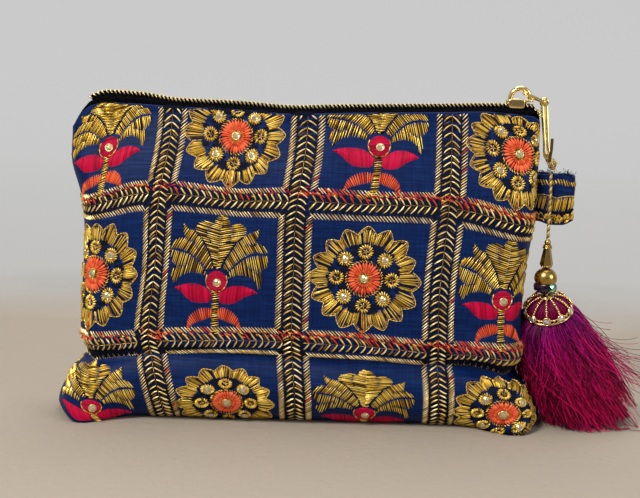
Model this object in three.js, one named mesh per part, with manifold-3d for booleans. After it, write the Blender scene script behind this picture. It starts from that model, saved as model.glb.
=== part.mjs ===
// Embroidered zipper pouch with a tassel on its pull.
// Millimetres, +Z up. The pouch stands on the flat of its base at z = 0; its front faces -Y, and the
// closed end of the zip, with the slider, the side loop and the tassel, is at +X.
import * as THREE from "three";
import { mergeVertices } from "three/addons/utils/BufferGeometryUtils.js";
import Module from "manifold-3d";

const wasm = await Module();
wasm.setup();

// Rows of numbers under named columns, as objects.
function table(columns, rows) {
  return rows.map((row) => Object.fromEntries(columns.map((name, i) => [name, row[i]])));
}

// Driving dimensions
const GAP = 0.3; // clearance between neighbouring pieces
const CLOTH = 1.6; // panel wall: silk, embroidery and backing
const SEAM_GAP = 0.3; // between the two panels along the side and base seams
const PANEL_COLUMNS = 30; // facets across a panel
const PANEL_ROWS = 25; // facets down a panel
const SIDE_FULLNESS = 0.82; // depth of the front beside the rounded edge, as a share of the middle's
const MOUTH_FADE = 30; // drop over which the line of the mouth dies out
const BASE_SEAM_BACK = 3; // the seam under the base runs this far behind the middle
const BASE_SEAM_RUN = 40; // and comes back to the middle this far before each corner
const TOE = { fromEdge: 13, width: 14, backShare: 0.5 }; // where the corners bulge over the foot
const CORNER_TURN = 9; // how late the wall along the base seam turns from upright to sideways

const TAPE_THICK = 1.0;
const TAPE_HALF = 5.6; // centre line to the outside of the folded tape
const TAPE_DROP = 9; // how far the tape hangs inside the panel
const TAPE_PINCH = 1.7; // the tapes draw together by this much at the left end
const TAPE_PINCH_RUN = 14;
const COIL_HALF = 1.15; // half the width of one row of teeth
const COIL_RISE = 2.3;
const COIL_CENTRE = 1.35; // centre line of a row from the zip's middle, closed
const COIL_START = -91; // the teeth stop short of the left end of the tapes
const COIL_PARTED = 2.35; // and past the slider's post
const COIL_PARTS = { after: 1.4, over: 3.6 }; // where the rows part, from the slider's closed end
const ZIP_STEPS = 34;
const COIL_SIDES = 6;

const SLIDER = { start: 81.2, end: 91.6, half: 4.75, lowHalf: 3.7, flange: 0.9, plate: 1.05, post: 0.85 };
const POST = { start: 86.9, end: 89.4 };
const ARCH = { start: 81.7, end: 91.1, rise: 5.0, bar: 1.2, half: 1.2, steps: 14 };
const LINK = { barX: 88.0, barRise: 2.4, bar: 0.6, boss: 0.95, armIn: 1.55, armOut: 2.45 };
const PIVOT = new THREE.Vector3(96.4, 0, 135.3); // hinge of the pull, axis along Y
const KNUCKLE = { radius: 1.95, bore: 0.95, half: 1.2 };
const KNUCKLE_SIDES = 20;
const PIN_SIDES = 12;
const TAB = { thick: 1.5, leanOut: 4.4, leanFront: 10 }; // leans in degrees
const TAB_OUTLINE = table(
  ["down", "half"], // down the tab from the pivot, and half its width there
  [
    [1.2, 1.6],
    [10, 1.45],
    [16.5, 2.2],
    [22, 2.35],
    [24, 1.3],
  ],
);
const SLOT = { from: 16.6, to: 22.4, half: 1.05 };

const LOOP = { inX: 95.55, outX: 111, half: 6, thick: 1.6, bottom: 85, top: 106, steps: 20 };
const LOOP_AT_SEAM = 0.35; // how open the loop is at the seam, as a share of its width outside

const CORD_WIDTH = 1.4;
const CORD_SIDES = 8;
const CORD_STEPS = 14;
const CORD_ROUTE = table(
  ["x", "y", "z"], // from under the knot, past the front of the loop, to the top of the cone bead
  [
    [99.95, -5.1, 106.8],
    [99.9, -6.4, 103],
    [99.85, -7.4, 97],
    [99.8, -7.7, 91],
    [99.7, -8.1, 85],
    [99.6, -8.6, 79.9],
  ],
);
const KNOT = { x: 100.0, y: -4.9, z: 109.3, radius: 1.95, tall: 2.15 };
const BEADS = { x: 99.6, y: -8.6 };
const CONE = { top: 79.6, bottom: 67.8, neck: 1.5, foot: 2.7, collar: 1.6, sides: 6 };
const BALL = { top: 67.5, bottom: 60.9, radius: 4.7 };
const CRYSTAL = { top: 60.6, bottom: 57.9, radius: 4.8, flat: 3.0, sides: 10 };

const TASSEL_TOP = new THREE.Vector3(100.4, -8.6, 56.2);
const TASSEL_LEAN = new THREE.Vector3(0.2, 0.42, -0.885).normalize(); // down the tassel's axis
const CAP = { radius: 10.2, depth: 7.4, crown: 2.2, wall: 1.0, rim: 1.5, ribs: 12, rib: 0.55 };
const HEAD_DEPTH = CAP.depth + CAP.rim / 2 + 1.2; // the bound threads show a little below the rim
const SKIRT = { neck: 9.0, footHalf: 20.5, flare: 0.56, straight: 16 }; // straight: before it turns down
const SKIRT_FOOT = new THREE.Vector3(124, 3, 1.6);
const SKIRT_DEEP = 0.82; // depth of the foot from front to back, as a share of its width
const SKIRT_PRESSED = 0.19; // the side next to the pouch lies this much flatter at the foot
const SKIRT_ROWS = 9;
const ROUND_SIDES = 24;
const HOOP_SIDES = 36;
const RIB_STEPS = 4;
const RIB_SIDES = 5;

// One row for each section of the pouch, from the mouth down and under the base to the seam.
// drop: cloth length down the middle of the panel; left, right: the x of each side seam; leftZ, rightZ: its
// height; middle: the height at the middle; front, back: depth of each panel; roll: width of the rounded
// side; blend: how far in from a side its height takes over from the middle's; toe: how far a corner of the
// front bulges past the middle.
const SECTIONS = table(
  ["drop", "left", "leftZ", "right", "rightZ", "middle", "front", "back", "roll", "blend", "toe"],
  [
    [0, -97.8, 115, 94.4, 124, 125, 7.5, 7.5, 2.6, 26, 0], // mouth
    [11, -98.2, 108, 95, 114, 115, 11.5, 10.5, 6, 26, 0], // shoulder
    [34, -93.6, 88, 94.8, 91, 93, 17.5, 14.5, 9, 26, 0], // upper body
    [62, -92.4, 66, 92.2, 65, 65, 20.5, 17, 10, 26, 0], // waist
    [88, -94.2, 40, 91.2, 38, 39, 21.5, 18, 10, 26, 0], // lower body
    [100, -91.5, 27, 90.3, 23, 28, 19.6, 17.4, 9, 26, 0], // the crease above the base
    [113, -98.2, 16.4, 97, 13, 15.5, 22.5, 19.5, 8, 20, 2.5], // belly
    [125, -102.6, 8.6, 100.4, 6.6, 5.4, 18.5, 17.5, 8.5, 15, 7], // toe
    [134, -103.6, 4.4, 101.2, 3.4, 0, 9.5, 12, 10, 13, 14], // foot, where the base is flat
    [152, -103.8, 3.2, 101.4, 2.4, 0, 0, 0, 12, 13, 0], // seam under the base
  ],
);

// The zip's line along the top: the upper face of the tape at its centre.
const ZIP_LINE = table(
  ["x", "z"],
  [
    [-97, 120.5],
    [-95.4, 123.6],
    [-92.5, 128],
    [-88.5, 131.6],
    [-83, 133.1],
    [-70, 132.6],
    [-54, 130.6],
    [-29, 130.1],
    [-8, 129],
    [12, 129.9],
    [53, 131.4],
    [79, 132.3],
    [91.8, 132.3],
    [92.4, 132.1],
    [93, 131.6],
  ],
);

// How far the panels' folded top edge lies below the zip.
const MOUTH_LINE = table(
  ["x", "below"],
  [
    [-98, 4.6],
    [-89, 4.2],
    [-75, 3.5],
    [-66, 2.8],
    [-56, 1.9],
    [-42, 1.7],
    [69, 1.7],
    [81, 2.3],
    [90, 3.2],
    [95, 3.6],
  ],
);

const clamp01 = (t) => Math.min(1, Math.max(0, t));
const smooth = (t) => clamp01(t) ** 2 * (3 - 2 * clamp01(t));
const mix = THREE.MathUtils.lerp;

// A smooth curve through one column of a table, flat-slope limited so that it never overshoots a row.
function column(rows, key, value) {
  const slopes = rows.map((row, i) => {
    if (i === 0 || i === rows.length - 1) {
      const [a, b] = i === 0 ? [row, rows[1]] : [rows[i - 1], row];
      return (b[value] - a[value]) / (b[key] - a[key]);
    }
    const before = (row[value] - rows[i - 1][value]) / (row[key] - rows[i - 1][key]);
    const after = (rows[i + 1][value] - row[value]) / (rows[i + 1][key] - row[key]);
    return before * after <= 0 ? 0 : (2 * before * after) / (before + after);
  });
  return (at) => {
    let i = 0;
    while (i < rows.length - 2 && at > rows[i + 1][key]) i++;
    const span = rows[i + 1][key] - rows[i][key];
    const t = clamp01((at - rows[i][key]) / span);
    const t2 = t * t;
    const t3 = t2 * t;
    return (
      (2 * t3 - 3 * t2 + 1) * rows[i][value] +
      (t3 - 2 * t2 + t) * span * slopes[i] +
      (3 * t2 - 2 * t3) * rows[i + 1][value] +
      (t3 - t2) * span * slopes[i + 1]
    );
  };
}

const section = {};
for (const name of ["left", "leftZ", "right", "rightZ", "middle", "front", "back", "roll", "blend", "toe"])
  section[name] = column(SECTIONS, "drop", name);
const zipHeight = column(ZIP_LINE, "x", "z");
const mouthBelow = column(MOUTH_LINE, "x", "below");
const ZIP_START = ZIP_LINE[0].x;
const ZIP_END = ZIP_LINE.at(-1).x;
const FULL_DROP = SECTIONS.at(-1).drop;
const FOOT_DROP = SECTIONS.at(-2).drop;
const TOE_DROP = SECTIONS.at(-3).drop;

// Half width of the folded tapes, drawn in at the end away from the slider.
function tapeHalf(x) {
  return TAPE_HALF - TAPE_PINCH * (1 - smooth((x - ZIP_START) / TAPE_PINCH_RUN));
}

// A closed mesh from rings of points: each ring joins the next, and the two end rings are capped by fans
// from their first point, which is the inner corner of a bent section.
function ringSolid(rings) {
  const count = rings[0].length;
  const points = rings.flat();
  const faces = [];
  for (let r = 0; r < rings.length - 1; r++)
    for (let i = 0; i < count; i++) {
      const j = (i + 1) % count;
      const a = r * count + i;
      const b = r * count + j;
      faces.push(a, b, b + count, a, b + count, a + count);
    }
  const last = (rings.length - 1) * count;
  for (let i = 1; i < count - 1; i++) faces.push(0, i + 1, i, last, last + i, last + i + 1);
  return facing(points, faces);
}

// A geometry from points and triangle indices, turned so that its faces point out.
function facing(points, faces) {
  let volume = 0;
  for (let i = 0; i < faces.length; i += 3) {
    const [a, b, c] = [points[faces[i]], points[faces[i + 1]], points[faces[i + 2]]];
    volume += a.dot(b.clone().cross(c));
  }
  if (volume < 0) faces.reverse();
  const geometry = new THREE.BufferGeometry().setFromPoints(points);
  geometry.setIndex(faces);
  return geometry;
}

// A geometry with shared vertices and nothing but positions, before it is placed.
function bare(geometry) {
  for (const name of Object.keys(geometry.attributes))
    if (name !== "position") geometry.deleteAttribute(name);
  return mergeVertices(geometry, 1e-4);
}

// Booleans
function solid(geometry) {
  return new wasm.Manifold(
    new wasm.Mesh({
      numProp: 3,
      vertProperties: new Float32Array(geometry.attributes.position.array),
      triVerts: new Uint32Array(geometry.index.array),
    }),
  );
}

function geometryOf(made) {
  const mesh = made.getMesh();
  const geometry = new THREE.BufferGeometry();
  geometry.setAttribute("position", new THREE.BufferAttribute(mesh.vertProperties, 3));
  geometry.setIndex(new THREE.BufferAttribute(mesh.triVerts, 1));
  return geometry;
}

const joined = (geometries) => geometries.map(solid).reduce((a, b) => a.add(b));

// A block between two corners.
function block(x0, x1, y0, y1, z0, z1) {
  const box = bare(new THREE.BoxGeometry(x1 - x0, y1 - y0, z1 - z0));
  return box.translate((x0 + x1) / 2, (y0 + y1) / 2, (z0 + z1) / 2);
}

// A round bar along Y between two values of y.
function barAlongY(x, z, radius, y0, y1, sides) {
  const bar = bare(new THREE.CylinderGeometry(radius, radius, y1 - y0, sides));
  return bar.translate(x, (y0 + y1) / 2, z);
}

// A flat outline in X and Z, extruded along Y about its middle.
function plateInXZ(outline, holes, thick) {
  const shape = new THREE.Shape(outline);
  shape.holes.push(...holes.map((hole) => new THREE.Path(hole)));
  const plate = bare(new THREE.ExtrudeGeometry(shape, { depth: thick, bevelEnabled: false }));
  return plate.translate(0, 0, -thick / 2).rotateX(Math.PI / 2);
}

// Panels

// A point of a panel's outer face. side is -1 for the front and 1 for the back.
function panelPoint(side, across, drop) {
  const left = section.left(drop);
  const right = section.right(drop);
  const x = mix(left, right, 0.5 + 0.5 * Math.sin((Math.PI / 2) * across));
  const fromEdge = Math.min(x - left, right - x);
  const rolled = clamp01(fromEdge / section.roll(drop));
  const round = Math.sqrt(1 - (1 - rolled) ** 2);
  const crown = 1 - across * across;
  const depthRow = side < 0 ? -section.front(drop) : section.back(drop);
  const overFoot = smooth((drop - TOE_DROP) / (FOOT_DROP - TOE_DROP));
  const fullness = mix(mix(SIDE_FULLNESS, 1, crown), 1, overFoot);
  const mouth = side * (tapeHalf(x) + GAP + CLOTH);
  const toMouth = (1 - clamp01(drop / MOUTH_FADE)) ** 3;
  const toe = section.toe(drop) * Math.exp(-(((fromEdge - TOE.fromEdge) / TOE.width) ** 2));
  const bulge = side * toe * (side < 0 ? 1 : TOE.backShare);
  const depth = mix(depthRow * fullness + bulge, mouth, toMouth);
  const edgeZ = across < 0 ? section.leftZ(drop) : section.rightZ(drop);
  const z = mix(edgeZ, section.middle(drop), smooth(fromEdge / section.blend(drop)));
  const line = mix(z, zipHeight(x) - mouthBelow(x) - drop, (1 - clamp01(drop / MOUTH_FADE)) ** 2);
  const underBase = smooth((drop - FOOT_DROP) / (FULL_DROP - FOOT_DROP));
  const seamBack = BASE_SEAM_BACK * underBase * smooth(fromEdge / BASE_SEAM_RUN);
  return new THREE.Vector3(x, (side * SEAM_GAP) / 2 + depth * round + seamBack, line);
}

// A panel as a wall of even thickness: outer grid, inner grid, and the rim round both.
function panel(side) {
  const acrossAt = (i) => -1 + (2 * i) / PANEL_COLUMNS;
  const dropAt = (j) => FULL_DROP * (j / PANEL_ROWS);
  const outer = [];
  const inner = [];
  const stepA = 0.004;
  const stepD = 1;
  for (let j = 0; j <= PANEL_ROWS; j++)
    for (let i = 0; i <= PANEL_COLUMNS; i++) {
      const a = acrossAt(i);
      const d = dropAt(j);
      const point = panelPoint(side, a, d);
      const beside = panelPoint(side, Math.max(-1, a - stepA), d);
      const alongA = panelPoint(side, Math.min(1, a + stepA), d).sub(beside);
      const low = Math.min(FULL_DROP, d + stepD);
      const above = panelPoint(side, a, Math.max(0, low - 2 * stepD));
      const alongD = panelPoint(side, a, low).sub(above);
      const normal = alongA.cross(alongD).multiplyScalar(-side).normalize();
      if (j === PANEL_ROWS) normal.set(-(a ** CORNER_TURN), 0, 1.2 - Math.abs(a) ** CORNER_TURN).normalize();
      else if (Math.abs(a) === 1) normal.set(-a, 0, 0);
      const within = point.clone().addScaledVector(normal, CLOTH);
      const clear = Math.min(side * point.y, SEAM_GAP / 2);
      within.y = side * Math.max(side * within.y, clear);
      outer.push(point);
      inner.push(within);
    }
  const wide = PANEL_COLUMNS + 1;
  const offset = outer.length;
  const faces = [];
  const quad = (a, b, c, d) => faces.push(a, b, c, a, c, d);
  for (let j = 0; j < PANEL_ROWS; j++)
    for (let i = 0; i < PANEL_COLUMNS; i++) {
      const a = j * wide + i;
      quad(a, a + 1, a + wide + 1, a + wide);
      quad(offset + a, offset + a + wide, offset + a + wide + 1, offset + a + 1);
    }
  const rim = [];
  for (let i = 0; i < PANEL_COLUMNS; i++) rim.push(i);
  for (let j = 0; j < PANEL_ROWS; j++) rim.push(j * wide + PANEL_COLUMNS);
  for (let i = PANEL_COLUMNS; i > 0; i--) rim.push(PANEL_ROWS * wide + i);
  for (let j = PANEL_ROWS; j > 0; j--) rim.push(j * wide);
  rim.forEach((a, k) => {
    const b = rim[(k + 1) % rim.length];
    quad(b, a, offset + a, offset + b);
  });
  return facing([...outer, ...inner], faces);
}

// Zip

// Stations along the zip with the directions along and square to it.
const zipStations = [];
for (let i = 0; i <= ZIP_STEPS; i++) {
  const x = mix(ZIP_START, ZIP_END, 0.5 - 0.5 * Math.cos(Math.PI * (i / ZIP_STEPS)));
  const reach = 0.4;
  const rise = zipHeight(Math.min(ZIP_END, x + reach)) - zipHeight(Math.max(ZIP_START, x - reach));
  const run = Math.min(ZIP_END, x + reach) - Math.max(ZIP_START, x - reach);
  const up = new THREE.Vector3(-rise, 0, run).normalize();
  zipStations.push({ x, base: new THREE.Vector3(x, 0, zipHeight(x)), up });
}

// Sweeps a section, given as [y, height] pairs for a station, along the zip from a value of x.
function alongZip(start, sectionAt) {
  const stations = zipStations.filter((station) => station.x >= start);
  const rings = stations.map((station) =>
    sectionAt(station.x).map(([y, height]) => {
      const point = station.base.clone().addScaledVector(station.up, height);
      return point.setY(y);
    }),
  );
  return ringSolid(rings);
}

// Middle of a row of teeth from the centre line of the zip.
function rowCentre(x) {
  const parted = smooth((x - SLIDER.start - COIL_PARTS.after) / COIL_PARTS.over);
  return mix(COIL_CENTRE, COIL_PARTED, parted);
}

function coilRow(side) {
  return alongZip(COIL_START, (x) => {
    const ring = [];
    for (let i = 0; i < COIL_SIDES; i++) {
      const turn = 2 * Math.PI * (i / COIL_SIDES);
      ring.push([
        side * (rowCentre(x) + COIL_HALF * Math.cos(turn)),
        GAP + (COIL_RISE / 2) * (1 + Math.sin(turn)),
      ]);
    }
    return ring;
  });
}

function tape(side) {
  return alongZip(ZIP_START, (x) => {
    const inner = rowCentre(x) - COIL_HALF;
    const outer = tapeHalf(x);
    return [
      [side * (outer - TAPE_THICK), -TAPE_THICK],
      [side * inner, -TAPE_THICK],
      [side * inner, 0],
      [side * (outer - TAPE_THICK), 0],
      [side * outer, -TAPE_THICK],
      [side * outer, -TAPE_DROP],
      [side * (outer - TAPE_THICK), -TAPE_DROP],
    ];
  });
}

// The slider stands on a straight stretch of the zip.
const sliderBase = zipHeight((SLIDER.start + SLIDER.end) / 2);
const plateUnder = sliderBase + GAP + COIL_RISE + GAP;
const plateTop = plateUnder + SLIDER.plate;

function slider() {
  const { start, end, half, lowHalf, flange, plate, post } = SLIDER;
  const lowTop = sliderBase - TAPE_THICK - GAP;
  const pieces = [
    block(start, end, -half, half, plateUnder, plateTop),
    block(start, end, -lowHalf, lowHalf, lowTop - plate, lowTop),
    block(POST.start, POST.end, -post, post, lowTop - plate / 2, plateUnder + plate / 2),
  ];
  for (const side of [-1, 1]) {
    const [y0, y1] = side < 0 ? [-half, flange - half] : [half - flange, half];
    pieces.push(block(start, end, y0, y1, sliderBase + GAP, plateUnder + plate / 2));
  }
  const middle = (ARCH.start + ARCH.end) / 2;
  const reach = (ARCH.end - ARCH.start) / 2;
  const curve = [];
  for (let i = 0; i <= ARCH.steps; i++) curve.push(Math.PI * (i / ARCH.steps));
  const at = (radius, rise) => (turn) =>
    new THREE.Vector2(middle + radius * Math.cos(turn), plateTop + rise * Math.sin(turn));
  const outline = curve.map(at(reach, ARCH.rise));
  const under = curve.map(at(reach - ARCH.bar, ARCH.rise - ARCH.bar)).reverse();
  const sunk = plate / 2;
  const feet = [new THREE.Vector2(ARCH.start, plateTop - sunk)];
  feet.push(new THREE.Vector2(ARCH.start + ARCH.bar, plateTop - sunk));
  const farFeet = [new THREE.Vector2(ARCH.end - ARCH.bar, plateTop - sunk)];
  farFeet.push(new THREE.Vector2(ARCH.end, plateTop - sunk));
  pieces.push(plateInXZ([...outline, ...feet, ...under, ...farFeet], [], 2 * ARCH.half));
  return geometryOf(joined(pieces));
}

// A closed link: one bar under the arch, one through the knuckle, and an arm on each side.
function link() {
  const { barX, barRise, bar, boss, armIn, armOut } = LINK;
  const from = new THREE.Vector3(barX, 0, plateTop + barRise);
  const length = from.distanceTo(PIVOT);
  const turn = Math.atan2(from.z - PIVOT.z, PIVOT.x - from.x);
  const pieces = [
    barAlongY(from.x, from.z, bar, -armOut, armOut, PIN_SIDES),
    barAlongY(PIVOT.x, PIVOT.z, bar, -armOut, armOut, PIN_SIDES),
  ];
  for (const side of [-1, 1]) {
    const [y0, y1] = side < 0 ? [-armOut, -armIn] : [armIn, armOut];
    const arm = block(0, length, y0, y1, -bar, bar);
    pieces.push(arm.rotateY(turn).translate(from.x, 0, from.z));
    pieces.push(barAlongY(PIVOT.x, PIVOT.z, boss, y0, y1, KNUCKLE_SIDES));
  }
  return geometryOf(joined(pieces));
}

// The pull: a bored knuckle, and a tab that leans out along the edge and a little to the front.
function pull() {
  const right = TAB_OUTLINE.map((row) => new THREE.Vector2(row.half, -row.down));
  const left = TAB_OUTLINE.map((row) => new THREE.Vector2(-row.half, -row.down)).reverse();
  const slot = [
    new THREE.Vector2(-SLOT.half, -SLOT.to),
    new THREE.Vector2(SLOT.half, -SLOT.to),
    new THREE.Vector2(SLOT.half, -SLOT.from - SLOT.half),
    new THREE.Vector2(0, -SLOT.from),
    new THREE.Vector2(-SLOT.half, -SLOT.from - SLOT.half),
  ];
  const plate = plateInXZ([...right, ...left], [slot], TAB.thick);
  plate.rotateX(THREE.MathUtils.degToRad(-TAB.leanFront));
  plate.rotateY(THREE.MathUtils.degToRad(-TAB.leanOut));
  plate.translate(PIVOT.x, 0, PIVOT.z);
  const knuckle = barAlongY(PIVOT.x, PIVOT.z, KNUCKLE.radius, -KNUCKLE.half, KNUCKLE.half, KNUCKLE_SIDES);
  const through = KNUCKLE.half + TAB.thick;
  const bore = barAlongY(PIVOT.x, PIVOT.z, KNUCKLE.bore, -through, through, KNUCKLE_SIDES);
  return geometryOf(joined([plate, knuckle]).subtract(solid(bore)));
}

// Side loop

// A strip folded into a teardrop, its ends together in the side seam.
function sideLoop() {
  const teardrop = (half, inX, outX) => {
    const points = [];
    for (let i = 0; i < LOOP.steps; i++) {
      const turn = Math.PI * 2 * (i / LOOP.steps);
      const run = 0.5 + 0.5 * Math.cos(turn);
      const open = mix(LOOP_AT_SEAM, 1, Math.sqrt(run));
      points.push(new THREE.Vector2(mix(inX, outX, run), half * Math.sin(turn) * open));
    }
    return points;
  };
  const shape = new THREE.Shape(teardrop(LOOP.half, LOOP.inX, LOOP.outX));
  const inside = teardrop(LOOP.half - LOOP.thick, LOOP.inX + LOOP.thick, LOOP.outX - LOOP.thick);
  shape.holes.push(new THREE.Path(inside));
  const strip = new THREE.ExtrudeGeometry(shape, { depth: LOOP.top - LOOP.bottom, bevelEnabled: false });
  return strip.translate(0, 0, LOOP.bottom);
}

// Cord, beads and tassel

function tasselCord() {
  const route = CORD_ROUTE.map((point) => new THREE.Vector3(point.x, point.y, point.z));
  const round = [];
  for (let i = 0; i < CORD_SIDES; i++) {
    const turn = (2 * Math.PI * i) / CORD_SIDES;
    round.push(new THREE.Vector2((CORD_WIDTH / 2) * Math.cos(turn), (CORD_WIDTH / 2) * Math.sin(turn)));
  }
  return new THREE.ExtrudeGeometry(new THREE.Shape(round), {
    steps: CORD_STEPS,
    extrudePath: new THREE.CatmullRomCurve3(route),
  });
}

// A turned piece about the vertical: rows of radius and height, closed on the axis.
function turned(profile, sides) {
  const points = profile.map(([radius, z]) => new THREE.Vector2(radius, z));
  return bare(new THREE.LatheGeometry(points, sides)).rotateX(Math.PI / 2);
}

function ellipsoid(radius, tall) {
  return bare(new THREE.SphereGeometry(1, 16, 10)).rotateX(Math.PI / 2).scale(radius, radius, tall);
}

function coneBead() {
  const { top, bottom, neck, foot, sides } = CONE;
  const collar = top - CONE.collar;
  const profile = [
    [0, bottom],
    [foot * 0.85, bottom],
    [foot, bottom + 0.8],
    [neck, collar - 0.6],
    [neck * 1.25, collar - 0.2],
    [neck * 1.25, collar + 0.3],
    [neck * 0.9, top],
    [0, top],
  ];
  return turned(profile, sides).translate(BEADS.x, BEADS.y, 0);
}

function crystalBead() {
  const { top, bottom, radius, flat, sides } = CRYSTAL;
  const middle = (top + bottom) / 2;
  const profile = [
    [0, bottom],
    [flat, bottom],
    [radius, middle - 0.5],
    [radius, middle + 0.5],
    [flat, top],
    [0, top],
  ];
  return turned(profile, sides).translate(BEADS.x, BEADS.y, 0);
}

// Places a piece modelled about the vertical, its top at the origin, on the tassel's leaning axis.
function onTassel(geometry) {
  const turn = new THREE.Quaternion().setFromUnitVectors(new THREE.Vector3(0, 0, -1), TASSEL_LEAN);
  return geometry.applyQuaternion(turn).translate(...TASSEL_TOP.toArray());
}

// The dome of the cap: the angle from its axis, and the radius and height there, from the crown's edge
// to the rim.
const domeTurn = (share) => mix(Math.asin(CAP.crown / CAP.radius), Math.PI / 2, share);

function domeAt(share) {
  const turn = domeTurn(share);
  return [CAP.radius * Math.sin(turn), -CAP.depth * (1 - Math.cos(turn))];
}

function tasselCap() {
  const { radius, depth, crown, wall, rim, ribs, rib } = CAP;
  const disc = [
    [0, -wall],
    [crown, -wall - 0.3],
    [crown, -0.2],
    [crown * 0.6, 0],
    [0, 0],
  ];
  const crownDisc = turned(disc, ROUND_SIDES);
  const hoop = [
    [radius - wall, -depth - rim / 2],
    [radius, -depth - rim / 2],
    [radius, -depth + rim / 2],
    [radius - wall, -depth + rim / 2],
    [radius - wall, -depth - rim / 2],
  ];
  const pieces = [crownDisc, turned(hoop, HOOP_SIDES)];
  for (let k = 0; k < ribs; k++) {
    const rings = [];
    for (let i = 0; i <= RIB_STEPS; i++) {
      const [out, z] = domeAt(i / RIB_STEPS);
      const ring = [];
      for (let n = 0; n < RIB_SIDES; n++) {
        const turn = 2 * Math.PI * (n / RIB_SIDES);
        const inward = i === RIB_STEPS ? wall / 2 : rib;
        ring.push(new THREE.Vector3(out - inward + rib * Math.cos(turn), rib * Math.sin(turn), z - rib));
      }
      rings.push(ring);
    }
    pieces.push(ringSolid(rings).rotateZ((2 * Math.PI * k) / ribs));
  }
  return onTassel(geometryOf(joined(pieces)));
}

// The bound threads that fill the cap, just clear of its ribs.
function tasselHead() {
  const under = 2 * CAP.rib + GAP;
  const profile = [[0, -CAP.wall - 2 * GAP]];
  for (let i = 1; i <= RIB_STEPS; i++) {
    const turn = domeTurn(i / RIB_STEPS);
    const [out, z] = domeAt(i / RIB_STEPS);
    profile.push([out - under * Math.sin(turn), z - under * Math.cos(turn) - CAP.rib * Math.cos(turn)]);
  }
  profile.push([CAP.radius - under, -HEAD_DEPTH], [0, -HEAD_DEPTH]);
  return onTassel(turned(profile.reverse(), ROUND_SIDES));
}

// The outer form of the skirt: rings that start square to the axis and end level, just off the floor.
function tasselSkirt() {
  const from = TASSEL_TOP.clone().addScaledVector(TASSEL_LEAN, HEAD_DEPTH + GAP);
  const turnsDown = from.clone().addScaledVector(TASSEL_LEAN, SKIRT.straight);
  const route = new THREE.QuadraticBezierCurve3(from, turnsDown, SKIRT_FOOT);
  const rings = [];
  for (let j = 0; j <= SKIRT_ROWS; j++) {
    const t = j / SKIRT_ROWS;
    const centre = route.getPoint(t);
    const down = TASSEL_LEAN.clone().lerp(new THREE.Vector3(0, 0, -1), smooth(t)).normalize();
    const side = new THREE.Vector3(1, 0, 0).addScaledVector(down, -down.x).normalize();
    const ahead = down.clone().cross(side);
    const half = mix(SKIRT.neck, SKIRT.footHalf, t ** SKIRT.flare);
    const ring = [];
    for (let i = 0; i < ROUND_SIDES; i++) {
      const turn = (2 * Math.PI * i) / ROUND_SIDES;
      const pressed = Math.cos(turn) < 0 ? 1 - SKIRT_PRESSED * t : 1;
      const point = centre.clone().addScaledVector(side, half * pressed * Math.cos(turn));
      ring.push(point.addScaledVector(ahead, half * mix(1, SKIRT_DEEP, t) * Math.sin(turn)));
    }
    rings.push(ring);
  }
  return ringSolid(rings);
}

// Materials and assembly
const finish = (color, roughness, metalness) =>
  new THREE.MeshStandardMaterial({ color, roughness, metalness });
const SILK = { color: 0x1b2a5a, roughness: 0.6, metalness: 0 };
const TAPE_CLOTH = { color: 0x0b0b10, roughness: 0.8, metalness: 0 };
const GOLD = { color: 0xd8b45a, roughness: 0.25, metalness: 1 };
const GOLD_CORD = { color: 0xb08f4c, roughness: 0.5, metalness: 0.4 };
const CRYSTAL_DARK = { color: 0x1c1830, roughness: 0.1, metalness: 0.2 };
const THREAD = { color: 0x7a0b44, roughness: 0.5, metalness: 0 };

const pouch = new THREE.Group();

function add(parent, name, geometry, { color, roughness, metalness }) {
  const mesh = new THREE.Mesh(geometry, finish(color, roughness, metalness));
  mesh.name = name;
  parent.add(mesh);
}

const bag = new THREE.Group();
add(bag, "front_panel", panel(-1), SILK);
add(bag, "back_panel", panel(1), SILK);
add(bag, "side_loop", sideLoop(), SILK);
pouch.add(bag);

const zip = new THREE.Group();
add(zip, "zip_tape_front", tape(-1), TAPE_CLOTH);
add(zip, "zip_tape_back", tape(1), TAPE_CLOTH);
add(zip, "zip_coil_front", coilRow(-1), GOLD);
add(zip, "zip_coil_back", coilRow(1), GOLD);
add(zip, "zip_slider", slider(), GOLD);
add(zip, "pull_link", link(), GOLD);
pouch.add(zip);

const pendant = new THREE.Group();
add(pendant, "zip_pull", pull(), GOLD);
add(pendant, "cord_knot", ellipsoid(KNOT.radius, KNOT.tall).translate(KNOT.x, KNOT.y, KNOT.z), GOLD_CORD);
add(pendant, "tassel_cord", tasselCord(), GOLD_CORD);
add(pendant, "cone_bead", coneBead(), GOLD);
const ballMiddle = (BALL.top + BALL.bottom) / 2;
const ball = ellipsoid(BALL.radius, (BALL.top - BALL.bottom) / 2);
add(pendant, "round_bead", ball.translate(BEADS.x, BEADS.y, ballMiddle), GOLD);
add(pendant, "crystal_bead", crystalBead(), CRYSTAL_DARK);
add(pendant, "tassel_cap", tasselCap(), GOLD);
add(pendant, "tassel_head", tasselHead(), THREAD);
add(pendant, "tassel_skirt", tasselSkirt(), THREAD);
pouch.add(pendant);

export default pouch;
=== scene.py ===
"""Looks of the embroidered zipper pouch, in the frame of its CAD.

Lengths are in millimetres until a mesh is made.
"""

import math

import bpy
import numpy as np
from mathutils import Matrix, Vector


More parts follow.
